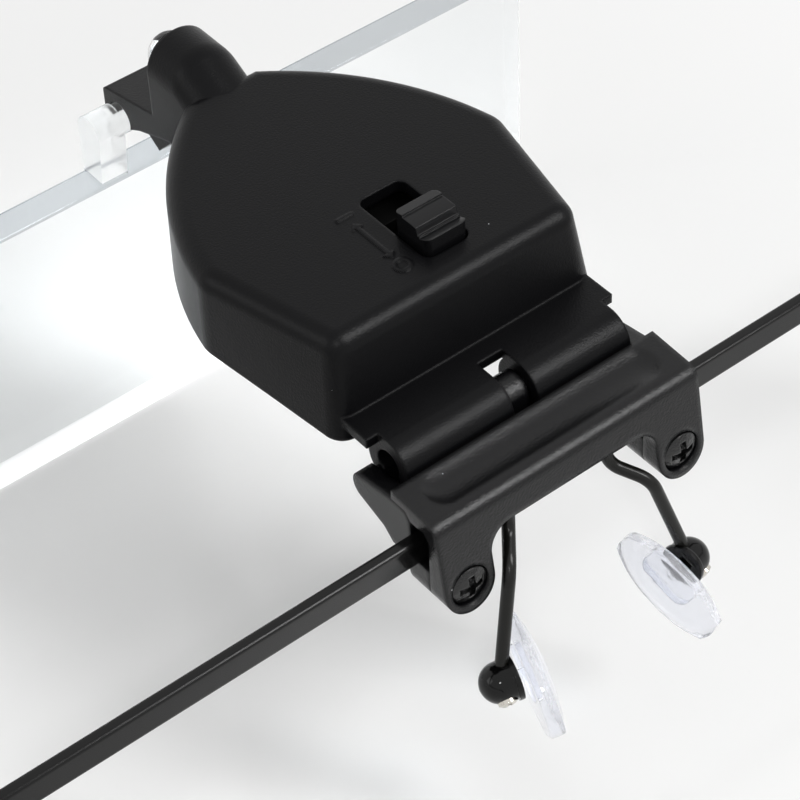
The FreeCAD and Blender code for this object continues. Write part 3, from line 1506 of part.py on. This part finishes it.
def band_outline(start, half, slope, rounded):
    """Side view of the strip from its start to the end of its slope."""
    under, over = s.ear_bend_radius - half, s.ear_bend_radius + half
    outline = [
        (-start, -half),
        (-bend_back, -half),
        at_bend_end(under, size_of(0)) + (under, "left"),
        at_bend_end(under, slope),
    ]
    if rounded:
        outline.append(at_bend_end(s.ear_bend_radius, slope + half) + (half, "right"))
        outline.append(at_bend_end(over, slope) + (half, "right"))
    else:
        outline.append(at_bend_end(over, slope))
    return outline + [
        at_bend_end(over, size_of(0)),
        (-bend_back, half, over, "right"),
        (-start, half),
    ]


arm_inner = s.bar_half_width - s.arm_depth
arm_start = s.bar_return + s.hinge_gap
arm_slope = tip_slope_length - s.arm_end_in_tip
arm = new_body("temple_arm_right")
strip_side = new_sketch(arm, "YZ", arm_inner)
draw_outline(strip_side, band_outline(arm_start, s.arm_height / 2, arm_slope, False))
pad(arm, strip_side, s.arm_depth)
arm_leaf = new_sketch(arm, "XY")
leaf_front = -hinge_back - knuckle_reach
draw_outline(arm_leaf, [
    (arm_inner - s.leaf_depth, leaf_front - s.leaf_length),
    (arm_inner + s.leaf_depth / 2, leaf_front - s.leaf_length),
    (arm_inner + s.leaf_depth / 2, leaf_front), (arm_inner - s.leaf_depth, leaf_front),
])
pad(arm, arm_leaf, s.arm_height, midplane=True)
arm_tongue = new_sketch(arm, "XY")
draw_outline(arm_tongue, [
    (hinge_across + s.hinge_gap, leaf_front - s.hinge_gap),
    (arm_inner, leaf_front - s.hinge_gap),
    (arm_inner, -hinge_back), (hinge_across + s.hinge_gap, -hinge_back),
])
pad(arm, arm_tongue, s.knuckle_height, midplane=True)
knuckle = new_sketch(arm, "XY")
draw_circle(knuckle, hinge_across, -hinge_back, s.knuckle_radius)
pad(arm, knuckle, s.knuckle_height, midplane=True)
screw_way = new_sketch(arm, "XY")
draw_circle(screw_way, hinge_across, -hinge_back, s.hinge_screw_radius + s.running_clearance)
pocket(arm, screw_way, s.overrun, midplane=True)
place(arm)
pair(arm, "temple_arm")

sleeve = new_body("temple_tip_right")
arm_middle = s.bar_half_width - s.arm_depth / 2
tip_start = bend_back - s.tip_lead
sleeve_side = new_sketch(sleeve, "YZ", arm_middle)
draw_outline(sleeve_side, band_outline(tip_start, s.tip_height / 2, tip_slope_length, True))
pad(sleeve, sleeve_side, s.tip_depth, midplane=True)
round_edges(sleeve, lambda e: near(e.BoundBox.XLength, 0), s.tip_round)
nest = new_sketch(sleeve, "YZ", arm_middle)
draw_outline(nest, band_outline(tip_start - s.overrun, s.arm_height / 2 + s.tip_fit,
                                arm_slope + s.tip_fit, False))
pocket(sleeve, nest, s.arm_depth + s.tip_fit * 2, midplane=True)
place(sleeve)
pair(sleeve, "temple_tip")

# Check every object, then write each sub-part

doc.recompute()
for item in doc.Objects:
    if "Invalid" in item.State or "Error" in item.State:
        raise RuntimeError(f"{item.Label} failed: {item.State}")
for item in sub_parts:
    if item.Shape.isNull() or not item.Shape.isValid() or item.Shape.Volume <= 0:
        raise RuntimeError(f"{item.Label} has no sound shape")
for item in sub_parts:
    item.Shape.exportStep(f"parts/{item.Label}.step")
print(len(sub_parts), "sub-parts written")
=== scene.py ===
"""Looks of the magnifying glasses: finishes, ribbed knob, silicone pads, floor, light, camera."""
import json
import math

import bpy
from mathutils import Matrix, Vector


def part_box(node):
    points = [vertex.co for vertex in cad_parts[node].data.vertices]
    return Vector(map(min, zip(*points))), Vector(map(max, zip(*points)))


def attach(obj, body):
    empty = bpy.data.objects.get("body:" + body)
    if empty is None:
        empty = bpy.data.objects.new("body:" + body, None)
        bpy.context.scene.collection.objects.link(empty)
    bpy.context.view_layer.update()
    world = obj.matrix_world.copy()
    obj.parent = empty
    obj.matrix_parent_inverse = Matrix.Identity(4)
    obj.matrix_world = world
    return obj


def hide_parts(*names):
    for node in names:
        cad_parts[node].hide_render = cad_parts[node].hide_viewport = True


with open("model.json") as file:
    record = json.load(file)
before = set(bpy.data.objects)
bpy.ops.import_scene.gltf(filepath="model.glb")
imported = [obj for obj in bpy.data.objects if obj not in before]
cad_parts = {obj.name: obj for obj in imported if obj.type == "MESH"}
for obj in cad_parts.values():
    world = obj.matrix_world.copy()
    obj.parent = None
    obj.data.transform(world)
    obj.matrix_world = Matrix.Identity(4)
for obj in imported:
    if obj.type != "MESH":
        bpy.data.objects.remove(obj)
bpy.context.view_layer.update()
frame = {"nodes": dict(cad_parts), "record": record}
nodes = frame["nodes"]
scene = bpy.context.scene
scene.view_settings.view_transform = "Standard"

MM = 0.001

# Camera, at the photograph's viewing angle. Its aim is in millimetres from the middle of the
# brow bar: across, ahead and up.

BAR_DEPTH = 1.3
AIM = (-8.13, 11.97, 5.0)
AZIMUTH = math.radians(36.43)
ELEVATION = math.radians(45.02)
ROLL = math.radians(3.07)
DISTANCE = 255.4
LENS_MM = 121.85
CLIP_NEAR, CLIP_FAR = 0.01, 20


def set_camera():
    bar_low, bar_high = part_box("brow_bar")
    bar_middle = Vector((0, bar_high.y - BAR_DEPTH / 2 * MM, (bar_low.z + bar_high.z) / 2))
    ahead = Vector((math.sin(AZIMUTH) * math.cos(ELEVATION),
                    math.cos(AZIMUTH) * math.cos(ELEVATION), -math.sin(ELEVATION)))
    level = ahead.cross(Vector((0, 0, 1))).normalized()
    rise = level.cross(ahead)
    side = level * math.cos(ROLL) - rise * math.sin(ROLL)
    top = level * math.sin(ROLL) + rise * math.cos(ROLL)
    place = bar_middle + Vector(AIM) * MM - ahead * DISTANCE * MM
    camera = bpy.data.objects.new("camera", bpy.data.cameras.new("camera"))
    scene.collection.objects.link(camera)
    camera.matrix_world = (Matrix.Translation(place)
                           @ Matrix((side, top, -ahead)).transposed().to_4x4())
    camera.data.lens = LENS_MM
    camera.data.clip_start = CLIP_NEAR
    camera.data.clip_end = CLIP_FAR
    scene.camera = camera


set_camera()


# Shader building


class Nodes:
    """Short calls that build a node tree. A setting is a number, a colour or a socket."""

    def __init__(self, tree):
        self.tree = tree

    def feed(self, socket, value):
        if isinstance(value, bpy.types.NodeSocket):
            self.tree.links.new(value, socket)
        elif socket.type == "RGBA" and len(value) == 3:
            socket.default_value = (*value, 1)
        else:
            socket.default_value = value

    def set(self, node, **settings):
        """Sets a node's inputs by their names, with _ for a space."""
        for label, value in settings.items():
            self.feed(node.inputs[label.replace("_", " ")], value)
        return node

    def add(self, kind, **settings):
        return self.set(self.tree.nodes.new("ShaderNode" + kind), **settings)

    def object_place(self):
        return self.add("TexCoord").outputs["Object"]

    def maths(self, operation, *values):
        """Result of a Math node that takes the values in turn."""
        node = self.add("Math")
        node.operation = operation
        for socket, value in zip(node.inputs, values):
            self.feed(socket, value)
        return node.outputs[0]

    def mix_colours(self, share, under, over):
        node = self.add("Mix")
        node.data_type = "RGBA"
        factor, first, second = (node.inputs[slot] for slot in (0, 6, 7))
        for socket, value in ((factor, share), (first, under), (second, over)):
            self.feed(socket, value)
        return node.outputs[2]

    def mix_shaders(self, share, under, over):
        node = self.add("MixShader")
        for socket, value in zip(node.inputs, (share, under, over)):
            self.feed(socket, value)
        return node.outputs[0]


class Effect(Nodes):
    """A shader node group. Its inputs are numbers, which each material sets for itself."""

    def __init__(self, name, inputs, outputs):
        super().__init__(bpy.data.node_groups.new(name, "ShaderNodeTree"))
        interface = self.tree.interface
        for label, value in inputs.items():
            socket = interface.new_socket(label, in_out="INPUT", socket_type="NodeSocketFloat")
            socket.default_value = value
        for label, kind in outputs.items():
            interface.new_socket(label, in_out="OUTPUT", socket_type="NodeSocket" + kind)
        self.given = self.tree.nodes.new("NodeGroupInput").outputs
        self.end = self.tree.nodes.new("NodeGroupOutput")


class Finish(Nodes):
    """A material under construction, with its Principled shader."""

    def __init__(self, name, **settings):
        self.material = bpy.data.materials.new(name)
        self.material.use_nodes = True
        super().__init__(self.material.node_tree)
        self.shader = self.tree.nodes["Principled BSDF"]
        self.output = self.tree.nodes["Material Output"]
        self.set(self.shader, **settings)

    def group(self, tree, **settings):
        """Outputs of a shared effect, placed with this material's own values."""
        node = self.add("Group")
        node.node_tree = tree
        return self.set(node, **settings).outputs


# Shared effects

EDGE_SAMPLES = 6
CLOUD_SCALE = 180


def make_grain():
    """Fine moulded grain on softened edges as a normal, and roughness that varies in clouds."""
    effect = Effect("moulded_grain",
                    {"Grain Size": 0.00025, "Depth": 0.00001, "Variation": 0.05,
                     "Roughness": 0.5, "Edge Round": 0.0002},
                    {"Normal": "Vector", "Roughness": "Float"})
    given = effect.given
    place = effect.object_place()
    scale = effect.maths("DIVIDE", 1, given["Grain Size"])
    grains = effect.add("TexNoise", Vector=place, Scale=scale, Detail=3, Roughness=0.6)
    soft = effect.add("Bevel", Radius=given["Edge Round"])
    soft.samples = EDGE_SAMPLES
    relief = effect.add("Bump", Strength=1, Distance=given["Depth"],
                        Height=grains.outputs["Fac"], Normal=soft.outputs["Normal"])
    clouds = effect.add("TexNoise", Vector=place, Scale=CLOUD_SCALE, Detail=2)
    spread = effect.maths("SUBTRACT", clouds.outputs["Fac"], 0.5)
    rough = effect.maths("MULTIPLY_ADD", spread, given["Variation"], given["Roughness"])
    effect.set(effect.end, Normal=relief.outputs["Normal"], Roughness=rough)
    return effect.tree


def make_dust():
    """Sparse specks of dust: a mask of a small dot in each chosen cell."""
    effect = Effect("dust_specks", {"Spacing": 0.0022, "Speck Size": 0.028, "Share": 0.1},
                    {"Mask": "Float"})
    given = effect.given
    scale = effect.maths("DIVIDE", 1, given["Spacing"])
    cells = effect.add("TexVoronoi", Vector=effect.object_place(), Scale=scale)
    draw = effect.add("SeparateColor", Color=cells.outputs["Color"]).outputs["Red"]
    small = effect.maths("LESS_THAN", cells.outputs["Distance"], given["Speck Size"])
    chosen = effect.maths("LESS_THAN", draw, given["Share"])
    effect.set(effect.end, Mask=effect.maths("MULTIPLY", small, chosen))
    return effect.tree


PLATE_ROUGHNESS = 0.01
RIM_ROUGHNESS = 0.35


def make_rim():
    """Masks of an upright plate's top and bottom edge, for painted shade and a painted highlight,
    and roughness that is high at the top.
    """
    effect = Effect("plate_rims", {"Top": 0.0, "Bottom": 0.0, "Width": 0.0004},
                    {"Upper": "Float", "Lower": "Float", "Roughness": "Float"})
    given = effect.given
    height = effect.add("SeparateXYZ", Vector=effect.object_place()).outputs["Z"]
    frost = effect.add("MapRange", Value=height, From_Min=given["Top"],
                       From_Max=effect.maths("ADD", given["Top"], given["Width"]),
                       To_Min=PLATE_ROUGHNESS, To_Max=RIM_ROUGHNESS)
    effect.set(effect.end, Roughness=frost.outputs["Result"],
               Upper=effect.maths("COMPARE", height, given["Top"], given["Width"]),
               Lower=effect.maths("COMPARE", height, given["Bottom"], given["Width"]))
    return effect.tree


grain = make_grain()
dust = make_dust()
rims = make_rim()

# Finishes. Sizes are in metres.

DUST_COLOUR = (0.5, 0.52, 0.54)
# Painted shade: the grey-blue tint laid on the clear plate's top edge.
RIM_PAINTED_SHADE = (0.36, 0.39, 0.42)
# Painted highlight: emission that makes the clear plate's bottom edge glow white.
RIM_PAINTED_HIGHLIGHT = (0.3, 0.3, 0.3)
WAVE_SIZE = 0.0028
WAVE_EDGE = 0.0003
SHADOW_TINT = (0.93, 0.95, 0.96)
BRUSH_SIZE = 0.0001
BRUSH_DEPTH = 0.000002


def plastic(name, colour, roughness, grain_size, grain_depth, specular=0.2, edge=0.0002):
    """Moulded plastic or coated metal, with its grain and a little dust."""
    finish = Finish(name, Specular_IOR_Level=specular)
    relief = finish.group(grain, Grain_Size=grain_size, Depth=grain_depth, Variation=0.08,
                          Roughness=roughness, Edge_Round=edge)
    specks = finish.group(dust, Share=0.1)
    finish.set(finish.shader, Normal=relief["Normal"], Roughness=relief["Roughness"],
               Base_Color=finish.mix_colours(specks["Mask"], colour, DUST_COLOUR))
    return finish.material


def metal(name, colour, roughness):
    """Bare metal with faint marks of its making."""
    finish = Finish(name, Base_Color=colour, Metallic=1.0)
    relief = finish.group(grain, Grain_Size=BRUSH_SIZE, Depth=BRUSH_DEPTH, Variation=0.15,
                          Roughness=roughness, Edge_Round=0.0001)
    finish.set(finish.shader, Normal=relief["Normal"], Roughness=relief["Roughness"])
    return finish.material


def clear(name, colour, roughness, ior, coat=0.0, through=1.0, rim=None, waves=0.0):
    """Clear plastic. Its shadow is light that goes straight through, a little dimmed. With a rim,
    its top edge gets painted shade and its bottom edge a painted highlight.
    """
    finish = Finish(name, Base_Color=colour, Roughness=roughness, IOR=ior,
                    Transmission_Weight=through, Coat_Weight=coat)
    if rim:
        # The top edge gets painted shade as a tint, and the bottom edge a painted highlight that
        # glows through emission.
        masks = finish.group(rims, Bottom=rim[0], Top=rim[1])
        finish.set(finish.shader, Roughness=masks["Roughness"], Emission_Strength=1.0,
                   Base_Color=finish.mix_colours(masks["Upper"], colour, RIM_PAINTED_SHADE),
                   Emission_Color=finish.mix_colours(masks["Lower"], (0, 0, 0), RIM_PAINTED_HIGHLIGHT))
    if waves:
        relief = finish.group(grain, Grain_Size=WAVE_SIZE, Depth=waves, Edge_Round=WAVE_EDGE)
        finish.set(finish.shader, Normal=relief["Normal"])
    path = finish.add("LightPath")
    unbent = finish.add("BsdfTransparent", Color=SHADOW_TINT)
    finish.set(finish.output, Surface=finish.mix_shaders(
        path.outputs["Is Shadow Ray"], finish.shader.outputs[0], unbent.outputs[0]))
    return finish.material


# The plate's own edges are measured clear of the lug in the middle of its upper one.
LUG_REACH = 20
plate_heights = [point.co.z for point in nodes["lens_plate"].data.vertices
                 if abs(point.co.x) > LUG_REACH * MM]
finishes = {
    "bar_coat": plastic("gloss_black_bar", (0.003, 0.003, 0.003), 0.16, grain_size=0.0008,
                        grain_depth=0.000002, specular=0.25, edge=0.0003),
    "frame_coat": plastic("satin_black_wire", (0.006, 0.006, 0.005), 0.26, grain_size=0.0003,
                          grain_depth=0.000002, specular=0.25),
    "clamp": plastic("grained_black_clamp", (0.003, 0.003, 0.0035), 0.2, grain_size=0.00025,
                     grain_depth=0.00005, specular=0.3, edge=0.0008),
    "housing": plastic("matte_black_housing", (0.003, 0.003, 0.0035), 0.3, grain_size=0.00022,
                       grain_depth=0.000035, specular=0.12, edge=0.0004),
    "knob": plastic("matte_black_knob", (0.004, 0.004, 0.0045), 0.2, grain_size=0.00014,
                    grain_depth=0.00001, specular=0.22, edge=0.00015),
    "collar": plastic("gloss_black_collar", (0.004, 0.004, 0.004), 0.2, grain_size=0.0005,
                      grain_depth=0.000002),
    "switch": plastic("switch_black", (0.002, 0.002, 0.002), 0.5, grain_size=0.0002,
                      grain_depth=0.000004, specular=0.05),
    "black_screw": plastic("blackened_screw", (0.004, 0.004, 0.004), 0.1, grain_size=0.0005,
                           grain_depth=0.0001, specular=0.45),
    "resistor": plastic("resistor_tan", (0.5, 0.35, 0.2), 0.3, grain_size=0.0005,
                        grain_depth=0.000002, specular=0.5),
    "pad_box": plastic("gloss_black_box", (0.002, 0.002, 0.002), 0.05, grain_size=0.0008,
                       grain_depth=0.000002, specular=0.25),
    "sleeve": plastic("soft_black_sleeve", (0.01, 0.01, 0.01), 0.5, grain_size=0.0002,
                      grain_depth=0.000005),
    "steel": metal("plain_steel", (0.5, 0.5, 0.5), 0.3),
    "bright_screw": metal("nickel_screw", (0.6, 0.57, 0.52), 0.15),
    "cell": metal("cell_steel", (0.6, 0.6, 0.6), 0.3),
    "contact": metal("contact_brass", (0.7, 0.55, 0.3), 0.3),
    "led": clear("clear_lamp", (1, 1, 1), 0.02, ior=1.3),
    "lens": clear("clear_lens", (0.97, 0.985, 0.99), PLATE_ROUGHNESS, ior=1.1, coat=1.0,
                  rim=(min(plate_heights), max(plate_heights))),
    "pad": clear("clear_pad", (0.92, 0.93, 0.975), 0.2, ior=1.2, coat=1.0, through=0.86,
                 waves=0.00025),
    "insert": clear("clear_insert", (0.93, 0.94, 0.97), 0.15, ior=1.04),
}
slot_of = {entry["node"]: entry["material_slot"] for entry in frame["record"]["subparts"]}
slot_of["hinge_pin"] = "pad_box"
for name, node in nodes.items():
    for place in node.material_slots:
        place.material = finishes[slot_of[name]]


# Mesh helpers

FLAT_AREA = 0.7e-6


def add_piece(title, points, polygons):
    mesh = bpy.data.meshes.new(title)
    mesh.from_pydata(points, [], polygons)
    item = bpy.data.objects.new(title, mesh)
    scene.collection.objects.link(item)
    return item


def carve(piece, cutter, finish, crisp):
    """Cuts the cutter out of the piece's own mesh and gives it its finish.

    Faces larger than FLAT_AREA stay flat, and edges sharper than crisp, in degrees, stay sharp.
    """
    cut = piece.modifiers.new("cut", "BOOLEAN")
    cut.object = cutter
    cut.solver = "EXACT"
    graph = bpy.context.evaluated_depsgraph_get()
    mesh = bpy.data.meshes.new_from_object(piece.evaluated_get(graph))
    piece.modifiers.clear()
    piece.data = mesh
    bpy.data.objects.remove(cutter)
    for polygon in mesh.polygons:
        polygon.use_smooth = polygon.area < FLAT_AREA
    mesh.set_sharp_from_angle(angle=math.radians(crisp))
    mesh.materials.clear()
    mesh.materials.append(finish)
    return piece


# Switch knob: the same solid with two stepped ribs cut across its grip, in millimetres. The
# grip sits in the middle of the knob's length.

GRIP_LENGTH = 5.0
# Each rib is a wall and the slope behind it: distance from the front, depth under the top
RIBS = (((1.2, 0.25), (3.1, 0.22)), ((3.75, 1.22), (4.75, 0.82)))
RIB_OVER = 0.5
RIB_ASIDE = 1.0
KNOB_CRISP = 20


def ribbed_knob(source):
    points = [point.co for point in source.data.vertices]
    piece = add_piece("ribbed_knob", points,
                      [tuple(polygon.vertices) for polygon in source.data.polygons])
    low_x, high_x = min(p.x for p in points), max(p.x for p in points)
    top = max(p.z for p in points)
    front = (min(p.y for p in points) + max(p.y for p in points) + GRIP_LENGTH * MM) / 2
    verts, faces = [], []
    for (near, deep), (far, shallow) in RIBS:
        outline = [(near, -RIB_OVER), (near, deep), (far, shallow), (far, -RIB_OVER)]
        first = len(verts)
        for x in (low_x - RIB_ASIDE * MM, high_x + RIB_ASIDE * MM):
            verts += [(x, front - back * MM, top - down * MM) for back, down in outline]
        faces += [tuple(first + k for k in (0, 1, 2, 3)), tuple(first + k for k in (7, 6, 5, 4))]
        faces += [(first + k, first + 4 + k, first + 4 + (k + 1) % 4, first + (k + 1) % 4)
                  for k in range(4)]
    return carve(piece, add_piece("rib_cutter", verts, faces), finishes["knob"], KNOB_CRISP)


knob = ribbed_knob(nodes["switch_knob"])
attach(knob, "switch_slider")
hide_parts("switch_knob")

# Silicone nose pads: crowned ovals with cut ends and fine rings, round their inserts. A pad is
# written in its own plane, in millimetres from its joint, and PAD_TURN, in degrees, turns it.

PAD_TURN = (82.0, 31.7, -76.8)
PAD_BACK = 2.5
PAD_THICK = 2.4
PAD_RIM = 1.5
PAD_SPAN = (-5.6, 6.5)
PAD_SIDE = 2.95
PAD_SAG = 1.2
PAD_ENDS = (1.1, 1.4)
PAD_END_BULGE = 0.3
PAD_CHAMFER = 0.3
PAD_FOOT = 0.95
PAD_CRISP = 35
SIDE_POWER = 2.4
CROWN_POWER = 2.2
RING_DEPTH = 0.03
RING_COUNT = 4
NEST_HALF = (3.02, 1.52)
NEST_CORNER = 0.8
NEST_DEEP = 0.7
ARC_STEPS = 24
END_STEPS = 4
TOP_RINGS = 14
CORNER_STEPS = 6


def pad_outline():
    """Outline of a pad in its own plane, counterclockwise, from arcs between its cut ends."""
    points = []
    narrow, wide = PAD_ENDS
    for side in (-1, 1):
        ends = ((PAD_SPAN[0], narrow), (PAD_SPAN[1], wide))
        (x0, e0), (x1, e1) = ends if side < 0 else ends[::-1]
        bulge = PAD_SIDE - (e0 + e1) / 2
        for i in range(ARC_STEPS):
            t = i / ARC_STEPS
            half = e0 + (e1 - e0) * t + bulge * (1 - abs(2 * t - 1) ** SIDE_POWER)
            points.append((x0 + (x1 - x0) * t, side * half))
        for i in range(END_STEPS):
            t = i / END_STEPS
            points.append((x1 + math.copysign(PAD_END_BULGE, x1) * (1 - (2 * t - 1) ** 2),
                           side * e1 * (1 - 2 * t)))
    return [(x, y - PAD_SAG) for x, y in points]


def pad_rows():
    """Share of the outline and height over the back of each ring of points, top to back."""
    rows = []
    for i in range(1, TOP_RINGS + 1):
        out = i / TOP_RINGS
        lift = PAD_RIM + (PAD_THICK - PAD_RIM) * (1 - out ** CROWN_POWER)
        lift += RING_DEPTH * math.cos(out * RING_COUNT * math.tau)
        rows.append((out, lift))
    return rows + [(1.0, PAD_CHAMFER), (PAD_FOOT, 0.0)]


def pad_shell():
    """Points and faces of a whole pad, before the nest is cut."""
    outline, rows = pad_outline(), pad_rows()
    count = len(outline)
    verts = [(0, -PAD_SAG, PAD_BACK + PAD_THICK)]
    for out, lift in rows:
        verts += [(x * out, (y + PAD_SAG) * out - PAD_SAG, PAD_BACK + lift) for x, y in outline]
    verts.append((0, -PAD_SAG, PAD_BACK))
    faces = []
    for i in range(count):
        j = (i + 1) % count
        faces.append((0, 1 + i, 1 + j))
        for row in range(len(rows) - 1):
            a, b = 1 + row * count, 1 + (row + 1) * count
            faces.append((a + i, b + i, b + j, a + j))
        b = 1 + (len(rows) - 1) * count
        faces.append((b + i, len(verts) - 1, b + j))
    return verts, faces


def nest_block():
    """Points and faces of the round-cornered block that makes room for the insert."""
    half_x, half_y = NEST_HALF
    corner = half_y * NEST_CORNER
    loop = []
    for cx, cy, start in ((1, 1, 0), (-1, 1, 90), (-1, -1, 180), (1, -1, 270)):
        for k in range(CORNER_STEPS + 1):
            angle = math.radians(start + k * 90 / CORNER_STEPS)
            loop.append((cx * (half_x - corner) + corner * math.cos(angle),
                         cy * (half_y - corner) + corner * math.sin(angle) - PAD_SAG / 2))
    around = len(loop)
    points = [(x, y, PAD_BACK + up) for up in (-NEST_DEEP, NEST_DEEP) for x, y in loop]
    polygons = [tuple(range(around))[::-1], tuple(range(around, around * 2))]
    polygons += [(k, (k + 1) % around, (k + 1) % around + around, k + around)
                 for k in range(around)]
    return points, polygons


def nose_pad(name, joint, mirror):
    turn = Matrix.Identity(3)
    for axis, angle in zip("XYZ", PAD_TURN):
        turn = Matrix.Rotation(math.radians(angle), 3, axis) @ turn
    middle = Vector(joint["pos_m"])
    middle.x = abs(middle.x)

    def add_placed(title, points, polygons):
        placed = [middle + turn @ Vector(point) * MM for point in points]
        if mirror:
            placed = [Vector((-p.x, p.y, p.z)) for p in placed]
            polygons = [face[::-1] for face in polygons]
        return add_piece(title, placed, polygons)

    piece = add_placed(name, *pad_shell())
    cutter = add_placed(name + "_cutter", *nest_block())
    return carve(piece, cutter, finishes["pad"], PAD_CRISP)


joints = {joint["name"]: joint for joint in frame["record"]["behaviour"]["joints"]}
for hand in ("left", "right"):
    body = "nose_pad_" + hand
    piece = nose_pad("silicone_pad_" + hand, joints[body + "_rock"], hand == "left")
    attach(piece, body)
    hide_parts(body)

# Floor: a pale sheet that fades to white around the object, in metres

FLOOR_COLOUR = (0.93, 0.93, 0.925)
FLOOR_HALF = 1.5
FLOOR_DROP = 0.0002
FADE_CENTRE = (-0.016, 0.077, 0)
FADE_START = 0.06
FADE_END = 0.22


def floor_finish():
    """Pale gloss that the camera sees as white light further out."""
    finish = Finish("white_floor", Base_Color=FLOOR_COLOUR, Roughness=0.14,
                    Specular_IOR_Level=0.4)
    away = finish.add("VectorMath")
    away.operation = "DISTANCE"
    finish.feed(away.inputs[0], finish.object_place())
    finish.feed(away.inputs[1], FADE_CENTRE)
    fade = finish.add("MapRange", Value=away.outputs["Value"], From_Min=FADE_START,
                      From_Max=FADE_END)
    fade.interpolation_type = "SMOOTHSTEP"
    white = finish.add("Emission", Color=(1, 1, 1))
    path = finish.add("LightPath")
    share = finish.maths("MULTIPLY", path.outputs["Is Camera Ray"], fade.outputs["Result"])
    finish.set(finish.output, Surface=finish.mix_shaders(
        share, finish.shader.outputs[0], white.outputs[0]))
    return finish.material


floor = add_piece("floor", [(x * FLOOR_HALF, y * FLOOR_HALF, -FLOOR_DROP)
                            for x, y in ((-1, -1), (1, -1), (1, 1), (-1, 1))], [(0, 1, 2, 3)])
floor.data.materials.append(floor_finish())

# Light: a world that is white to the camera and in reflections, and three lamps, in metres

WORLD_LIGHT = 0.47
WORLD_SEEN = 1.0


def set_world():
    world = bpy.data.worlds.new("studio")
    scene.world = world
    world.use_nodes = True
    studio = Nodes(world.node_tree)
    rays = studio.add("LightPath").outputs
    seen = studio.maths("MAXIMUM", rays["Is Camera Ray"], rays["Is Glossy Ray"])
    seen = studio.maths("MAXIMUM", seen, rays["Is Transmission Ray"])
    strength = studio.add("MapRange", Value=seen, To_Min=WORLD_LIGHT, To_Max=WORLD_SEEN)
    studio.set(studio.tree.nodes["Background"], Color=(1, 1, 1),
               Strength=strength.outputs["Result"])


def lamp(name, place, aim, size, watts):
    data = bpy.data.lights.new(name, "AREA")
    data.shape = "RECTANGLE"
    data.size, data.size_y = size
    data.energy = watts
    light = bpy.data.objects.new(name, data)
    scene.collection.objects.link(light)
    light.location = place
    light.rotation_mode = "QUATERNION"
    light.rotation_quaternion = (Vector(aim) - Vector(place)).to_track_quat("-Z", "Y")


set_world()
lamp("overhead", (0.255, -0.315, 0.52), aim=(0, 0.03, 0.04), size=(0.14, 0.36), watts=2.6)
lamp("glint", (-0.34, -0.4, 0.6), aim=(0, 0.03, 0.04), size=(0.06, 0.06), watts=0.8)
lamp("left", (-0.7, 0.3, 0.45), aim=(0, 0.04, 0.02), size=(0.4, 0.4), watts=0.8)
